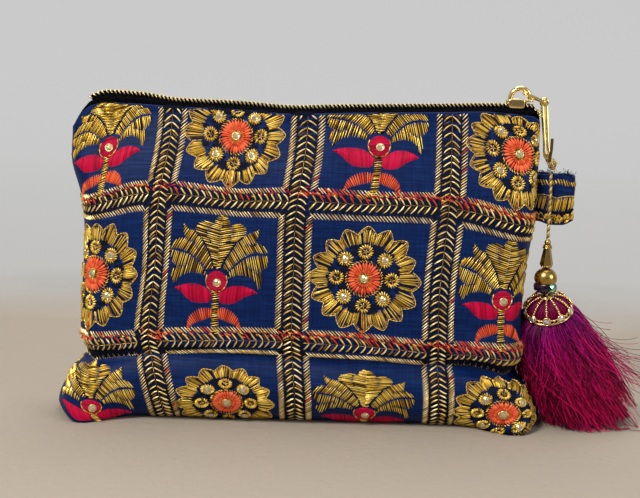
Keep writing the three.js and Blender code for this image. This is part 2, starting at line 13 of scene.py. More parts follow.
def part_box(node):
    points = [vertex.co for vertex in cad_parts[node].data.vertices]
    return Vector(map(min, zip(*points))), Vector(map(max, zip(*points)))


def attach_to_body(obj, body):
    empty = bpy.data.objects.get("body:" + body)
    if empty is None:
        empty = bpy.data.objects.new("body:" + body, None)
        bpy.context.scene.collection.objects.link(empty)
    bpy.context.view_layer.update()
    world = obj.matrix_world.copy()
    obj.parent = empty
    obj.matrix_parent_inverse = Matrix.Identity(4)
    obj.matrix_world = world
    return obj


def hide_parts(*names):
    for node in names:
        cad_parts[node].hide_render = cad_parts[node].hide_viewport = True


MM = 0.001
POUCH = "pouch"
PENDANT = "pull_and_tassel"

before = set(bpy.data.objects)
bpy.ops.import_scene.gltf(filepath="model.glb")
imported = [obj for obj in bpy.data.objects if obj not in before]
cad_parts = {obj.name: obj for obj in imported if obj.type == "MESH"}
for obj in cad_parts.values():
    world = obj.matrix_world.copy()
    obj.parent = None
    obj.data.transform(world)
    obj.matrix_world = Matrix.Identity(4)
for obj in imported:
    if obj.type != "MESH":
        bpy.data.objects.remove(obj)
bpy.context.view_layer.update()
rng = np.random.default_rng(11)


# Numbers


def mix(a, b, t):
    return a + (b - a) * t


def smooth(t):
    t = np.clip(t, 0, 1)
    return t * t * (3 - 2 * t)


def unit(v):
    return v / np.maximum(np.linalg.norm(v, axis=-1, keepdims=True), 1e-9)


def round_turn(count):
    """Angles once round, an even step apart."""
    return np.linspace(0, 2 * math.pi, count, endpoint=False)


def run_of(points):
    """The length of a line up to each of its points."""
    return np.concatenate([[0], np.cumsum(np.linalg.norm(np.diff(points, axis=0), axis=1))])


def evenly(low, high, count, source=rng):
    return source.uniform(low, high, (count, 1))


def about(middle, width, count, source=rng):
    return source.normal(middle, width, (count, 1))


def column(keys, values):
    """A smooth curve through a table's column that never overshoots a row."""
    keys, values = np.asarray(keys, float), np.asarray(values, float)
    step = np.diff(values) / np.diff(keys)
    slopes = np.empty(len(keys))
    slopes[0], slopes[-1] = step[0], step[-1]
    before, after = step[:-1], step[1:]
    level = before * after <= 0
    slopes[1:-1] = np.where(level, 0, 2 * before * after / np.where(level, 1, before + after))

    def curve(at):
        at = np.asarray(at, float)
        i = np.clip(np.searchsorted(keys, at, side="left") - 1, 0, len(keys) - 2)
        span = keys[i + 1] - keys[i]
        t = np.clip((at - keys[i]) / span, 0, 1)
        return (
            (2 * t**3 - 3 * t**2 + 1) * values[i]
            + (t**3 - 2 * t**2 + t) * span * slopes[i]
            + (3 * t**2 - 2 * t**3) * values[i + 1]
            + (t**3 - t**2) * span * slopes[i + 1]
        )

    return curve


# Meshes


class Pile:
    """Grids of quads gathered into one mesh, each point with a tone and a place along its strand."""

    def __init__(self):
        self.points, self.faces, self.tones, self.alongs, self.count = [], [], [], [], 0

    def grids(self, p, closed=False, tone=0.5, along=0.0):
        """p has the shape (grids, rows, columns, 3); closed joins the last column to the first.

        tone is one number or one for each grid, along one number or one for each row.
        """
        p = np.asarray(p, float)
        n, r, c, _ = p.shape
        base = self.count + np.arange(n)[:, None, None] * r * c
        row = np.arange(r - 1)[None, :, None] * c
        left = np.arange(c if closed else c - 1)[None, None, :]
        right = (left + 1) % c
        quads = [base + row + left, base + row + right, base + row + c + right, base + row + c + left]
        self.faces.append(np.stack(np.broadcast_arrays(*quads), -1).reshape(-1, 4))
        self.points.append(p.reshape(-1, 3))
        tone = np.broadcast_to(np.asarray(tone, float).reshape(-1, 1, 1), (n, r, c))
        along = np.broadcast_to(np.asarray(along, float).reshape(1, -1, 1), (n, r, c))
        self.tones.append(tone.ravel())
        self.alongs.append(along.ravel())
        self.count += n * r * c

    def object(self, name, material, flat=False, uv=None):
        points, faces = np.concatenate(self.points), np.concatenate(self.faces)
        mesh = bpy.data.meshes.new(name)
        mesh.vertices.add(len(points))
        mesh.vertices.foreach_set("co", (points * MM).astype(np.float32).ravel())
        mesh.loops.add(faces.size)
        mesh.loops.foreach_set("vertex_index", faces.astype(np.int32).ravel())
        mesh.polygons.add(len(faces))
        mesh.polygons.foreach_set("loop_start", np.arange(0, faces.size, 4, dtype=np.int32))
        mesh.polygons.foreach_set("use_smooth", np.full(len(faces), not flat))
        for key, values in (("tone", self.tones), ("along", self.alongs)):
            layer = mesh.attributes.new(key, "FLOAT", "POINT")
            layer.data.foreach_set("value", np.concatenate(values).astype(np.float32))
        if uv is not None:
            layer = mesh.uv_layers.new(name="cloth")
            layer.data.foreach_set("uv", uv[faces.ravel()].astype(np.float32).ravel())
        mesh.update(calc_edges=True)
        mesh.validate()
        mesh.materials.append(material)
        obj = bpy.data.objects.new(name, mesh)
        bpy.context.scene.collection.objects.link(obj)
        return obj


def tubes(paths, radius, sides):
    """Grids for tubes along paths shaped (tubes, points, 3), with one radius or one for each point."""
    paths = np.asarray(paths, float)
    along = unit(np.gradient(paths, axis=1))
    mean = unit(along.mean(1, keepdims=True))
    least = np.eye(3)[np.abs(mean[:, 0]).argmin(1)][:, None]
    first = unit(np.cross(along, np.broadcast_to(least, along.shape)))
    second = np.cross(along, first)
    turn = round_turn(sides)
    radius = np.broadcast_to(np.asarray(radius, float), paths.shape[:2])[..., None, None]
    ring = first[:, :, None] * np.cos(turn)[:, None] + second[:, :, None] * np.sin(turn)[:, None]
    return paths[:, :, None] + radius * ring


def lathe(profile, sides):
    """One grid turned about Z from rows of radius and height."""
    profile = np.asarray(profile, float)
    turn = round_turn(sides)
    x = profile[:, :1] * np.cos(turn)
    y = profile[:, :1] * np.sin(turn)
    return np.stack([x, y, np.broadcast_to(profile[:, 1:], x.shape)], -1)[None]


def ball(sides, rows):
    """A unit ball as one grid."""
    turn = np.linspace(0.02, math.pi - 0.02, rows)
    return lathe(np.stack([np.sin(turn), np.cos(turn)], 1), sides)


def pillow(low, high, edge=0.35, sides=48, rows=25):
    """A box with rounded edges and slightly full faces, as one grid."""
    low, high = np.asarray(low, float), np.asarray(high, float)

    def full(v):
        return np.sign(v) * np.abs(v) ** edge

    up = np.linspace(-math.pi / 2 + 0.01, math.pi / 2 - 0.01, rows)[:, None]
    turn = round_turn(sides)[None]
    x, y = full(np.cos(up)) * full(np.cos(turn)), full(np.cos(up)) * full(np.sin(turn))
    grid = np.stack([x, y, np.broadcast_to(full(np.sin(up)), x.shape)], -1)
    return ((low + high) / 2 + grid * (high - low) / 2)[None]


def ring_of(radius, thick, sides=48, round_sides=8):
    """A ring about Z as one grid, closed along both ways."""
    turn = np.linspace(0, 2 * math.pi, round_sides + 1)
    return lathe(np.stack([radius + thick * np.cos(turn), thick * np.sin(turn)], 1), sides)


def placed(grid, centres, first, second, third, scale=1.0):
    """Copies of one grid at each centre, its X, Y and Z along three directions."""
    grid = grid[0] * scale
    shape = np.shape(centres)
    axes = [np.broadcast_to(np.asarray(v, float), shape)[:, None, None] for v in (first, second, third)]
    out = sum(grid[None, :, :, k : k + 1] * axes[k] for k in range(3))
    return out + np.asarray(centres, float)[:, None, None]


def balls(centres, size, sides=8, rows=6):
    """Balls of one size, given as three half widths."""
    return placed(ball(sides, rows), centres, *np.diag(size))


def above_floor(lines, least=0.3):
    lines[..., 2] = np.maximum(lines[..., 2], least)
    return lines


def attach(obj, body, slot, *nodes):
    """Says which body a piece rides on and the CAD nodes it replaces; slot, its material slot, is not used.
    """
    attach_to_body(obj, body)
    if nodes:
        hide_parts(*nodes)


def resampled(points, count):
    """Points spread evenly along a smooth line through the given ones."""
    points = np.asarray(points, float)
    padded = np.concatenate([2 * points[:1] - points[1:2], points, 2 * points[-1:] - points[-2:-1]])
    t = np.linspace(0, 1, 24, endpoint=False)[:, None]
    fine = []
    for a, b, c, d in zip(padded, padded[1:], padded[2:], padded[3:]):
        square, cube = 2 * a - 5 * b + 4 * c - d, 3 * b - a - 3 * c + d
        fine.append(0.5 * (2 * b + (c - a) * t + square * t**2 + cube * t**3))
    fine = np.concatenate([*fine, points[-1:]])
    run = run_of(fine)
    even = np.linspace(0, run[-1], count)
    return np.stack([np.interp(even, run, fine[:, k]) for k in range(3)], 1)


# Materials


def material(name, base, metallic=0.0, roughness=0.5, **sockets):
    made = bpy.data.materials.new(name)
    made.use_nodes = True
    shader = made.node_tree.nodes["Principled BSDF"]
    shader.inputs["Base Color"].default_value = (*base, 1)
    shader.inputs["Metallic"].default_value = metallic
    shader.inputs["Roughness"].default_value = roughness
    for key, value in sockets.items():
        shader.inputs[key.replace("_", " ")].default_value = value
    return made


def add_node(mat, kind, links=(), **values):
    """A node with its inputs set by number, or linked by pairs of input and another node's output."""
    node = mat.node_tree.nodes.new(kind)
    for key, value in values.items():
        setattr(node, key, value)
    for key, source in links:
        if isinstance(source, (int, float, tuple)):
            node.inputs[key].default_value = source
        else:
            mat.node_tree.links.new(source, node.inputs[key])
    return node


def ramp(mat, source, stops):
    """A colour ramp over a value."""
    node = add_node(mat, "ShaderNodeValToRGB", [("Fac", source)])
    while len(node.color_ramp.elements) < len(stops):
        node.color_ramp.elements.new(0.5)
    for element, (place, colour) in zip(node.color_ramp.elements, stops):
        element.position = place
        element.color = (*colour, 1)
    return node.outputs["Color"]


def grey(*stops):
    return [(place, (value, value, value)) for place, value in stops]


def drive(mat, socket, source):
    mat.node_tree.links.new(source, mat.node_tree.nodes["Principled BSDF"].inputs[socket])


def attribute(mat, name):
    return add_node(mat, "ShaderNodeAttribute", attribute_name=name).outputs["Fac"]


def noise(mat, scale, detail=2.0, stretch=(1, 1, 1), uv=False):
    place = add_node(mat, "ShaderNodeTexCoord").outputs["UV" if uv else "Object"]
    mapped = add_node(mat, "ShaderNodeMapping", [("Vector", place), ("Scale", stretch)])
    node = add_node(mat, "ShaderNodeTexNoise", [("Vector", mapped.outputs["Vector"])])
    node.inputs["Scale"].default_value = scale
    node.inputs["Detail"].default_value = detail
    return node.outputs["Fac"]


def bump(mat, height, strength, distance):
    node = add_node(mat, "ShaderNodeBump", [("Height", height)])
    node.inputs["Strength"].default_value = strength
    node.inputs["Distance"].default_value = distance
    drive(mat, "Normal", node.outputs["Normal"])


def maths(mat, operation, a, b):
    return add_node(mat, "ShaderNodeMath", [(0, a), (1, b)], operation=operation).outputs["Value"]


def thread(name, stops, metallic, roughness, source="tone"):
    """Thread whose colour goes by a point's tone or its place along the strand."""
    made = material(name, stops[0][1], metallic, roughness, Specular_IOR_Level=0.12)
    colour = ramp(made, attribute(made, source), stops)
    if source == "along":
        shade = ramp(made, attribute(made, "tone"), grey((0.0, 0.08), (0.5, 0.55), (1.0, 1.15)))
        blend = add_node(made, "ShaderNodeMix", data_type="RGBA", blend_type="MULTIPLY")
        blend.inputs["Factor"].default_value = 1.0
        made.node_tree.links.new(colour, blend.inputs["A"])
        made.node_tree.links.new(shade, blend.inputs["B"])
        colour = blend.outputs["Result"]
    drive(made, "Base Color", colour)
    bump(made, noise(made, 2600), 0.35, 0.0002)
    return made


def silk():
    made = material("silk", (0.003, 0.010, 0.045), roughness=0.5, Specular_IOR_Level=0.1)
    weft = noise(made, 14, 3, (0.5, 8, 1), uv=True)
    warp = noise(made, 14, 3, (8, 0.6, 1), uv=True)
    slub = maths(made, "ADD", maths(made, "MULTIPLY", weft, 0.6), maths(made, "MULTIPLY", warp, 0.4))
    stops = [(0.34, (0.0004, 0.006, 0.038)), (0.51, (0.001, 0.0125, 0.073)), (0.69, (0.004, 0.024, 0.115))]
    drive(made, "Base Color", ramp(made, slub, stops))
    fine = noise(made, 120, 1, (1, 1, 1), uv=True)
    bump(made, maths(made, "ADD", slub, maths(made, "MULTIPLY", fine, 0.3)), 0.5, 0.0005)
    return made


def tape_cloth():
    made = material("zip_tape_cloth", (0.003, 0.003, 0.004), roughness=1.0, Specular_IOR_Level=0.0)
    weave = noise(made, 1500, 1, (1, 1, 0.4))
    stops = [(0.35, (0.0015, 0.0015, 0.002)), (0.65, (0.005, 0.005, 0.0065))]
    drive(made, "Base Color", ramp(made, weave, stops))
    bump(made, weave, 0.4, 0.0003)
    return made


def worn(name, base, metallic, roughness, patch, **sockets):
    """Plated metal or a set stone, darker and duller in patches of about the given millimetres."""
    made = material(name, base, metallic, roughness, **sockets)
    dull = noise(made, 1 / (patch * MM), 4)
    shares = ((0.35, 0.74), (0.5, 1.0), (0.68, 1.12))
    shades = [(place, tuple(min(share * part, 1.0) for part in base)) for place, share in shares]
    drive(made, "Base Color", ramp(made, dull, shades))
    drive(made, "Roughness", ramp(made, dull, grey((0.35, 1.6 * roughness), (0.6, 0.9 * roughness))))
    bump(made, noise(made, 4 / (patch * MM), 2), 0.12, 0.0001)
    return made


SILK = silk()
TAPE = tape_cloth()
GOLD_STOPS = [
    (0.0, (0.006, 0.003, 0.001)), (0.4, (0.25, 0.13, 0.01)),
    (0.7, (0.78, 0.47, 0.045)), (1.0, (1.0, 0.75, 0.19)),
]
PALE_STOPS = [
    (0.0, (0.012, 0.006, 0.002)), (0.4, (0.27, 0.155, 0.03)),
    (0.7, (0.72, 0.49, 0.13)), (1.0, (1.0, 0.82, 0.42)),
]
CRIMSON_STOPS = [(0.0, (0.2, 0.0003, 0.012)), (0.5, (0.44, 0.0005, 0.035)), (1.0, (0.6, 0.002, 0.06))]
ORANGE_STOPS = [(0.0, (0.16, 0.008, 0.004)), (0.5, (0.66, 0.075, 0.024)), (1.0, (0.86, 0.17, 0.06))]
CORD_STOPS = [(0.0, (0.05, 0.028, 0.008)), (0.5, (0.42, 0.28, 0.085)), (1.0, (0.8, 0.64, 0.3))]
GOLD_THREAD = thread("gold_thread", GOLD_STOPS, 0.6, 0.32)
PALE_THREAD = thread("pale_gold_thread", PALE_STOPS, 0.6, 0.32)
CRIMSON = thread("crimson_thread", CRIMSON_STOPS, 0.0, 0.5)
ORANGE = thread("orange_thread", ORANGE_STOPS, 0.0, 0.45)
# Navy thread for the loop's seam and frays, also laid as near-black sheets and lines that are painted shade
# between stitches.
NAVY_AND_SHADE_STOPS = [(0.0, (0.0013, 0.0034, 0.015)), (0.5, (0.0014, 0.0036, 0.016)), (1.0, (0.0024, 0.006, 0.026))]
NAVY_THREAD_AND_SHADE = thread("navy_thread_and_shade", NAVY_AND_SHADE_STOPS, 0.0, 0.8)
CORD_THREAD = thread("cord_thread", CORD_STOPS, 0.5, 0.38)
# The thread's own colour runs from violet at the top to crimson lower down; the last stop is also darker as
# painted shade near the foot.
TASSEL_STOPS = [
    (0.0, (0.34, 0.006, 0.22)), (0.3, (0.5, 0.006, 0.2)),
    (0.6, (0.64, 0.006, 0.135)), (1.0, (0.52, 0.004, 0.07)),
]
TASSEL_THREAD = thread("tassel_thread", TASSEL_STOPS, 0.0, 0.34, "along")
BRIGHT_GOLD = worn("bright_gold", (0.93, 0.72, 0.3), 1.0, 0.14, 5.0)
TOOTH_GOLD = worn("tooth_gold", (0.74, 0.6, 0.3), 1.0, 0.3, 2.0)
CAP_GOLD = worn("cap_gold", (0.84, 0.57, 0.26), 1.0, 0.22, 2.5)
BEAD_GOLD = worn("bead_gold", (0.52, 0.33, 0.09), 1.0, 0.2, 4.0)
STONE = worn("stone", (0.62, 0.5, 0.27), 0.6, 0.1, 1.5, Coat_Weight=1.0)
CLEAR_STONE = worn("clear_stone", (0.8, 0.78, 0.8), 0.85, 0.05, 1.5, Coat_Weight=1.0)


def crystal_glass():
    made = material("crystal_glass", (0.02, 0.02, 0.05), 0.85, 0.1, Coat_Weight=1.0)
    # Dark glass; each facet is painted by its tone with a flash of reflected purple or green.
    stops = [
        (0.0, (0.006, 0.004, 0.014)), (0.4, (0.018, 0.01, 0.05)),
        (0.75, (0.06, 0.014, 0.12)), (1.0, (0.25, 0.85, 0.48)),
    ]
    drive(made, "Base Color", ramp(made, attribute(made, "tone"), stops))
    return made


CRYSTAL_GLASS = crystal_glass()


# Camera


CAMERA_PLACE, CAMERA_TARGET, CAMERA_ROLL = (5.795, -516.561, 153.068), (5.795, 0, 71.253), 1.7
LENS, SENSOR = 70, 36


def make_camera():
    data = bpy.data.cameras.new("camera")
    data.lens, data.sensor_width = LENS, SENSOR
    data.clip_start, data.clip_end = 0.01, 50
    camera = bpy.data.objects.new("camera", data)
    bpy.context.scene.collection.objects.link(camera)
    place, target = Vector(CAMERA_PLACE), Vector(CAMERA_TARGET)
    forward = (target - place).normalized()
    level = forward.cross(Vector((0, 0, 1))).normalized()
    upright = level.cross(forward)
    roll = math.radians(CAMERA_ROLL)
    right = level * math.cos(roll) + upright * math.sin(roll)
    up = upright * math.cos(roll) - level * math.sin(roll)
    axes = Matrix((right, up, -forward)).transposed().to_4x4()
    camera.matrix_world = Matrix.Translation(place * MM) @ axes
    bpy.context.scene.camera = camera


make_camera()


# Cord, beads and tassel

CORD_ROUTE = [
    (99.95, -5.1, 106.8), (99.9, -6.4, 103), (99.85, -7.4, 97), (99.8, -7.7, 91),
    (99.7, -8.1, 85), (99.6, -8.6, 79.9), (99.6, -8.6, 66.0),
]
CORD_THICK = 1.4
KNOT = np.array((100.0, -4.9, 109.3))
BEADS = (99.6, -8.6)
TASSEL_TOP = np.array((100.4, -8.6, 56.2))
TASSEL_LEAN = np.array((0.2, 0.42, -0.885)) / np.linalg.norm((0.2, 0.42, -0.885))
LEAN_TURN = np.array(Vector((0, 0, -1)).rotation_difference(Vector(TASSEL_LEAN)).to_matrix())
CAP_RADIUS, CAP_DEPTH, CAP_CROWN, CAP_RIBS = 10.2, 7.4, 2.2, 10
HEAD_DEPTH = 9.35
SKIRT_NECK, SKIRT_FOOT_HALF, SKIRT_FLARE, SKIRT_PRESSED, SKIRT_DEEP = 9.0, 20.5, 0.56, 0.19, 0.82
SKIRT_FOOT = np.array((124.0, 3.0, 1.6))


def on_tassel(grids):
    """From about the vertical, top at the origin, onto the tassel's leaning axis."""
    return np.asarray(grids) @ LEAN_TURN.T + TASSEL_TOP


def twisted(path, thick, strands, pitch, sides=6):
    """Grids for a cord of strands twisted round a path, pitch long for each turn."""
    path = np.asarray(path, float)
    run = run_of(path)
    along = unit(np.gradient(path, axis=0))
    first = unit(np.cross(along, (0, 1, 0.3)))
    second = np.cross(along, first)
    size = thick / 2 / (1 + 1 / math.sin(math.pi / strands)) if strands > 2 else thick / 4
    lines = []
    for k in range(strands):
        turn = (2 * math.pi * (run / pitch + k / strands))[:, None]
        lines.append(path + (thick / 2 - size) * (first * np.cos(turn) + second * np.sin(turn)))
    return tubes(lines, size * 1.12, sides)


def make_cord():
    down = [TASSEL_TOP + TASSEL_LEAN * t for t in (0.0, 8.0, 17.0, 27.0)]
    path = resampled([*CORD_ROUTE, *down], 250)
    pile = Pile()
    pile.grids(twisted(path, CORD_THICK, 3, 2.6), closed=True, tone=(0.15, 0.5, 0.8))
    return pile.object("gold_cord", CORD_THREAD), path


# Each turn's tilt, spin and radius; the hitch's places; each tail's start, end, radius and tone.
KNOT_TURNS = (
    (0.2, 0.1, 1.4), (1.2, 0.8, 1.5), (1.35, 2.3, 1.4), (0.6, 3.9, 1.4), (1.0, 5.2, 1.5), (1.5, 1.5, 1.45),
)
HITCH = (
    (99.6, -5.8, 109.8), (98.7, -5.6, 112.6), (98.0, -4.6, 114.6),
    (97.9, -2.9, 114.4), (98.2, -2.2, 112.6), (99.4, -3.4, 109.8),
)
KNOT_TAILS = (
    ((0.8, -0.8, 0), (3.0, -1.2, 2.4), 0.16, 0.6),
    ((0.8, -0.8, 0), (2.2, -2.0, -3.0), 0.16, 0.6),
    ((-1.2, -1.0, 1.8), (-0.6, -1.6, 11.5), 0.62, 0.06),
)


def make_knot():
    """A turn of cord through the slot of the pull, pulled into a lump beside its end, with its tails."""
    pile = Pile()
    turn = np.linspace(0, 2 * math.pi, 29)
    middle = KNOT + (0.2, -0.3, 0.9)
    strands = (0.2, 0.55, 0.9)
    for tilt, spin, radius in KNOT_TURNS:
        circle = np.stack([radius * np.cos(turn), radius * np.sin(turn), 0.35 * np.sin(2 * turn)], 1)
        tip = np.array(Matrix.Rotation(spin, 3, "Z") @ Matrix.Rotation(tilt, 3, "X"))
        circle = circle @ tip.T * (0.95, 0.95, 1.4) + middle
        pile.grids(twisted(circle, 0.95, 3, 2.0, 5), closed=True, tone=strands)
    # A dark ball in the middle of the turns, painted shade inside the knot.
    pile.grids(balls(middle[None], (1.2, 1.2, 2.0), 12, 8), closed=True, tone=0.1)
    for shift in (-0.4, 0.4):
        hitch = resampled([np.array(spot) + (shift, 0, 0) for spot in HITCH], 26)
        pile.grids(twisted(hitch, 0.8, 3, 2.0, 5), closed=True, tone=strands)
    for start, reach, thick, tone in KNOT_TAILS:
        start, reach = KNOT + start, KNOT + reach
        tail = resampled([start, (start + reach) / 2 + (0.2, -0.3, 0.3), reach], 12)
        pile.grids(tubes(tail[None], thick, 7), closed=True, tone=tone)
    return pile.object("gold_knot", CORD_THREAD)


CONE = [(0.02, 67.9), (1.6, 67.9), (2.4, 68.4), (2.8, 69.2), (1.5, 75.9), (0.02, 76.0)]
GLASS = [(0.02, 57.3), (3.4, 57.35), (4.6, 58.3), (5.0, 59.5), (4.75, 60.7), (3.9, 61.6), (0.02, 61.65)]
FACETS = 14
# How strongly each facet's painted reflection flashes.
FACET_GLINTS = (0.1, 0.75, 0.3, 0.25, 0.75, 0.5, 0.2, 0.65, 0.05, 0.85, 0.35, 0.15, 0.7, 1.0)


def make_beads():
    at = np.array((*BEADS, 0))
    cone, rings, gold, glass = Pile(), Pile(), Pile(), Pile()
    cone.grids(lathe(CONE, 6) + at, closed=True)
    rings.grids(ball(16, 12) * (1.35, 1.35, 1.3) + at + (0, 0, 78.2), closed=True)
    for radius, z in ((1.4, 76.9), (1.65, 76.05)):
        rings.grids(ring_of(radius, 0.42, 24) + at + (0, 0, z), closed=True)
    turn = round_turn(12)
    spots = np.stack([1.95 * np.cos(turn), 1.95 * np.sin(turn), np.full(12, 68.2)], 1) + at
    rings.grids(balls(spots, (0.5, 0.5, 0.42)), closed=True)
    gold.grids(ball(40, 24) * (4.7, 4.7, 4.35) + at + (0, 0, 63.3), closed=True)
    levels = []
    for k, (radius, z) in enumerate(GLASS):
        turn = round_turn(FACETS) + (k % 2) * math.pi / FACETS
        levels.append(np.stack([radius * np.cos(turn), radius * np.sin(turn), np.full(FACETS, z)], 1) + at)
    levels = np.stack(levels)
    for k in range(FACETS):
        facet = np.stack([levels[:, k], levels[:, (k + 1) % FACETS]], 1)
        glass.grids(facet[None], tone=FACET_GLINTS[(k * 5) % FACETS])
    return (
        cone.object("cone_facets", BEAD_GOLD, flat=True),
        rings.object("cone_collar", BEAD_GOLD),
        gold.object("gold_ball", BEAD_GOLD),
        glass.object("crystal_facets", CRYSTAL_GLASS, flat=True),
    )


def dome_at(share):
    turn = mix(math.asin(CAP_CROWN / CAP_RADIUS), math.pi / 2, np.asarray(share, float))
    return CAP_RADIUS * np.sin(turn), -CAP_DEPTH * (1 - np.cos(turn)), turn


CROWN = [(0.02, 0), (1.4, -0.02), (2.2, -0.35), (2.35, -0.9), (2.0, -1.2), (0.02, -1.2)]
BEZEL = [(0.02, -0.3), (1.8, -0.3), (1.85, 0.3), (1.65, 0.6), (1.35, 0.45), (1.3, 0.1)]
CAP_STONE = [(1.32, 0.15), (1.1, 0.55), (0.7, 0.75), (0.02, 0.76)]


def make_cap():
    """Beaded wires from the crown to the rim, the rim, and a set stone at the foot of each wire."""
    metal, stones = Pile(), Pile()
    metal.grids(on_tassel(lathe(CROWN, 28)), closed=True)
    rims = ((2.3, 0.35, 28, -0.55), (9.85, 0.52, 72, -CAP_DEPTH - 0.75), (9.35, 0.3, 72, -CAP_DEPTH + 0.7))
    for radius, thick, sides, z in rims:
        metal.grids(on_tassel(ring_of(radius, thick, sides) + (0, 0, z)), closed=True)
    share = np.linspace(0.06, 0.84, 10)
    out, z, _ = dome_at(share)
    angles = 2 * math.pi * (np.arange(CAP_RIBS) + 0.15) / CAP_RIBS
    for angle in angles:
        near = out - 0.35
        rib = on_tassel(np.stack([near * math.cos(angle), near * math.sin(angle), z - 0.35], 1))
        metal.grids(balls(rib, (0.52, 0.52, 0.52)), closed=True)
        metal.grids(tubes(rib[None], 0.16, 5), closed=True)
        turn = angle + math.pi / CAP_RIBS
        bead = on_tassel(np.array([(9.7 * math.cos(turn), 9.7 * math.sin(turn), -CAP_DEPTH + 0.7)]))
        metal.grids(balls(bead, (0.62, 0.62, 0.62)), closed=True)
        face = np.array((math.cos(angle), math.sin(angle), 0.3)) / math.hypot(1, 0.3)
        side = np.array((-math.sin(angle), math.cos(angle), 0))
        up = np.cross(face, side)
        spot = np.array((9.75 * math.cos(angle), 9.75 * math.sin(angle), -CAP_DEPTH + 0.85))
        for grid, pile in ((lathe(BEZEL, 18), metal), (lathe(CAP_STONE, 8), stones)):
            pile.grids(on_tassel(placed(grid, spot[None], side, up, face)), closed=True)
    return metal.object("cap_filigree", CAP_GOLD), stones.object("cap_stones", CLEAR_STONE, flat=True)


def make_head():
    """The bound threads under the cap, ridged from crown to rim."""
    share = np.linspace(0, 1, 14)
    out, z, turn = dome_at(share)
    radius = np.concatenate([[0.02], np.maximum(out - 1.25 * np.sin(turn), 0.4), [8.9, 8.85]])
    height = np.concatenate([[-1.75], z - 1.6 * np.cos(turn) - 0.1, [-CAP_DEPTH - 1.0, -HEAD_DEPTH]])
    around = round_turn(240)
    ridge = 1 - 0.13 * np.abs(np.sin(20 * around + 0.9 * np.sin(5 * around))) ** 3
    x, y = radius[:, None] * np.cos(around) * ridge, radius[:, None] * np.sin(around) * ridge
    grid = np.stack([x, y, np.broadcast_to(height[:, None], x.shape)], -1)
    pile = Pile()
    pile.grids(on_tassel(grid[None]), closed=True, tone=0.17, along=np.linspace(0.35, 0.6, len(height)))
    return pile.object("thread_head", TASSEL_THREAD)


def skirt_point(t, turn, share):
    """A place in the skirt: t down it, turn round it, and share of the way out from its middle."""
    start = TASSEL_TOP + TASSEL_LEAN * (HEAD_DEPTH - 0.6)
    bend = start + TASSEL_LEAN * 16
    t, turn, share = (np.asarray(v, float)[..., None] for v in np.broadcast_arrays(t, turn, share))
    centre = (1 - t) ** 2 * start + 2 * t * (1 - t) * bend + t**2 * SKIRT_FOOT
    down = unit(mix(TASSEL_LEAN, np.array((0, 0, -1.0)), smooth(t)))
    side = unit(np.array((1.0, 0, 0)) - down * down[..., :1])
    ahead = np.cross(down, side)
    half = mix(SKIRT_NECK, SKIRT_FOOT_HALF, np.clip(t, 0, 2) ** SKIRT_FLARE)
    pressed = np.where(np.cos(turn) < 0, 1 - SKIRT_PRESSED * np.clip(t, 0, 1), 1)
    deep = mix(1, SKIRT_DEEP, np.clip(t, 0, 1))
    return centre + half * share * (side * np.cos(turn) * pressed + ahead * np.sin(turn) * deep)


THREAD, FINE_THREAD, WILD_THREAD, THREAD_END = 0.17, 0.13, 0.11, 0.22  # radii
CORE_END, ENDS_START = 0.9, 0.78  # down the skirt
# Threads, how far they wander, points on each, and the shortest.
SKIRT_LAYERS = ((1350, 0.12, 10, 0.84), (1400, 0.42, 13, 0.6))
BUNCHES, LOOSE, WILD, INNER_ENDS, STRAYS = 110, 70, 34, 1900, 170
WILD_REACH = 152


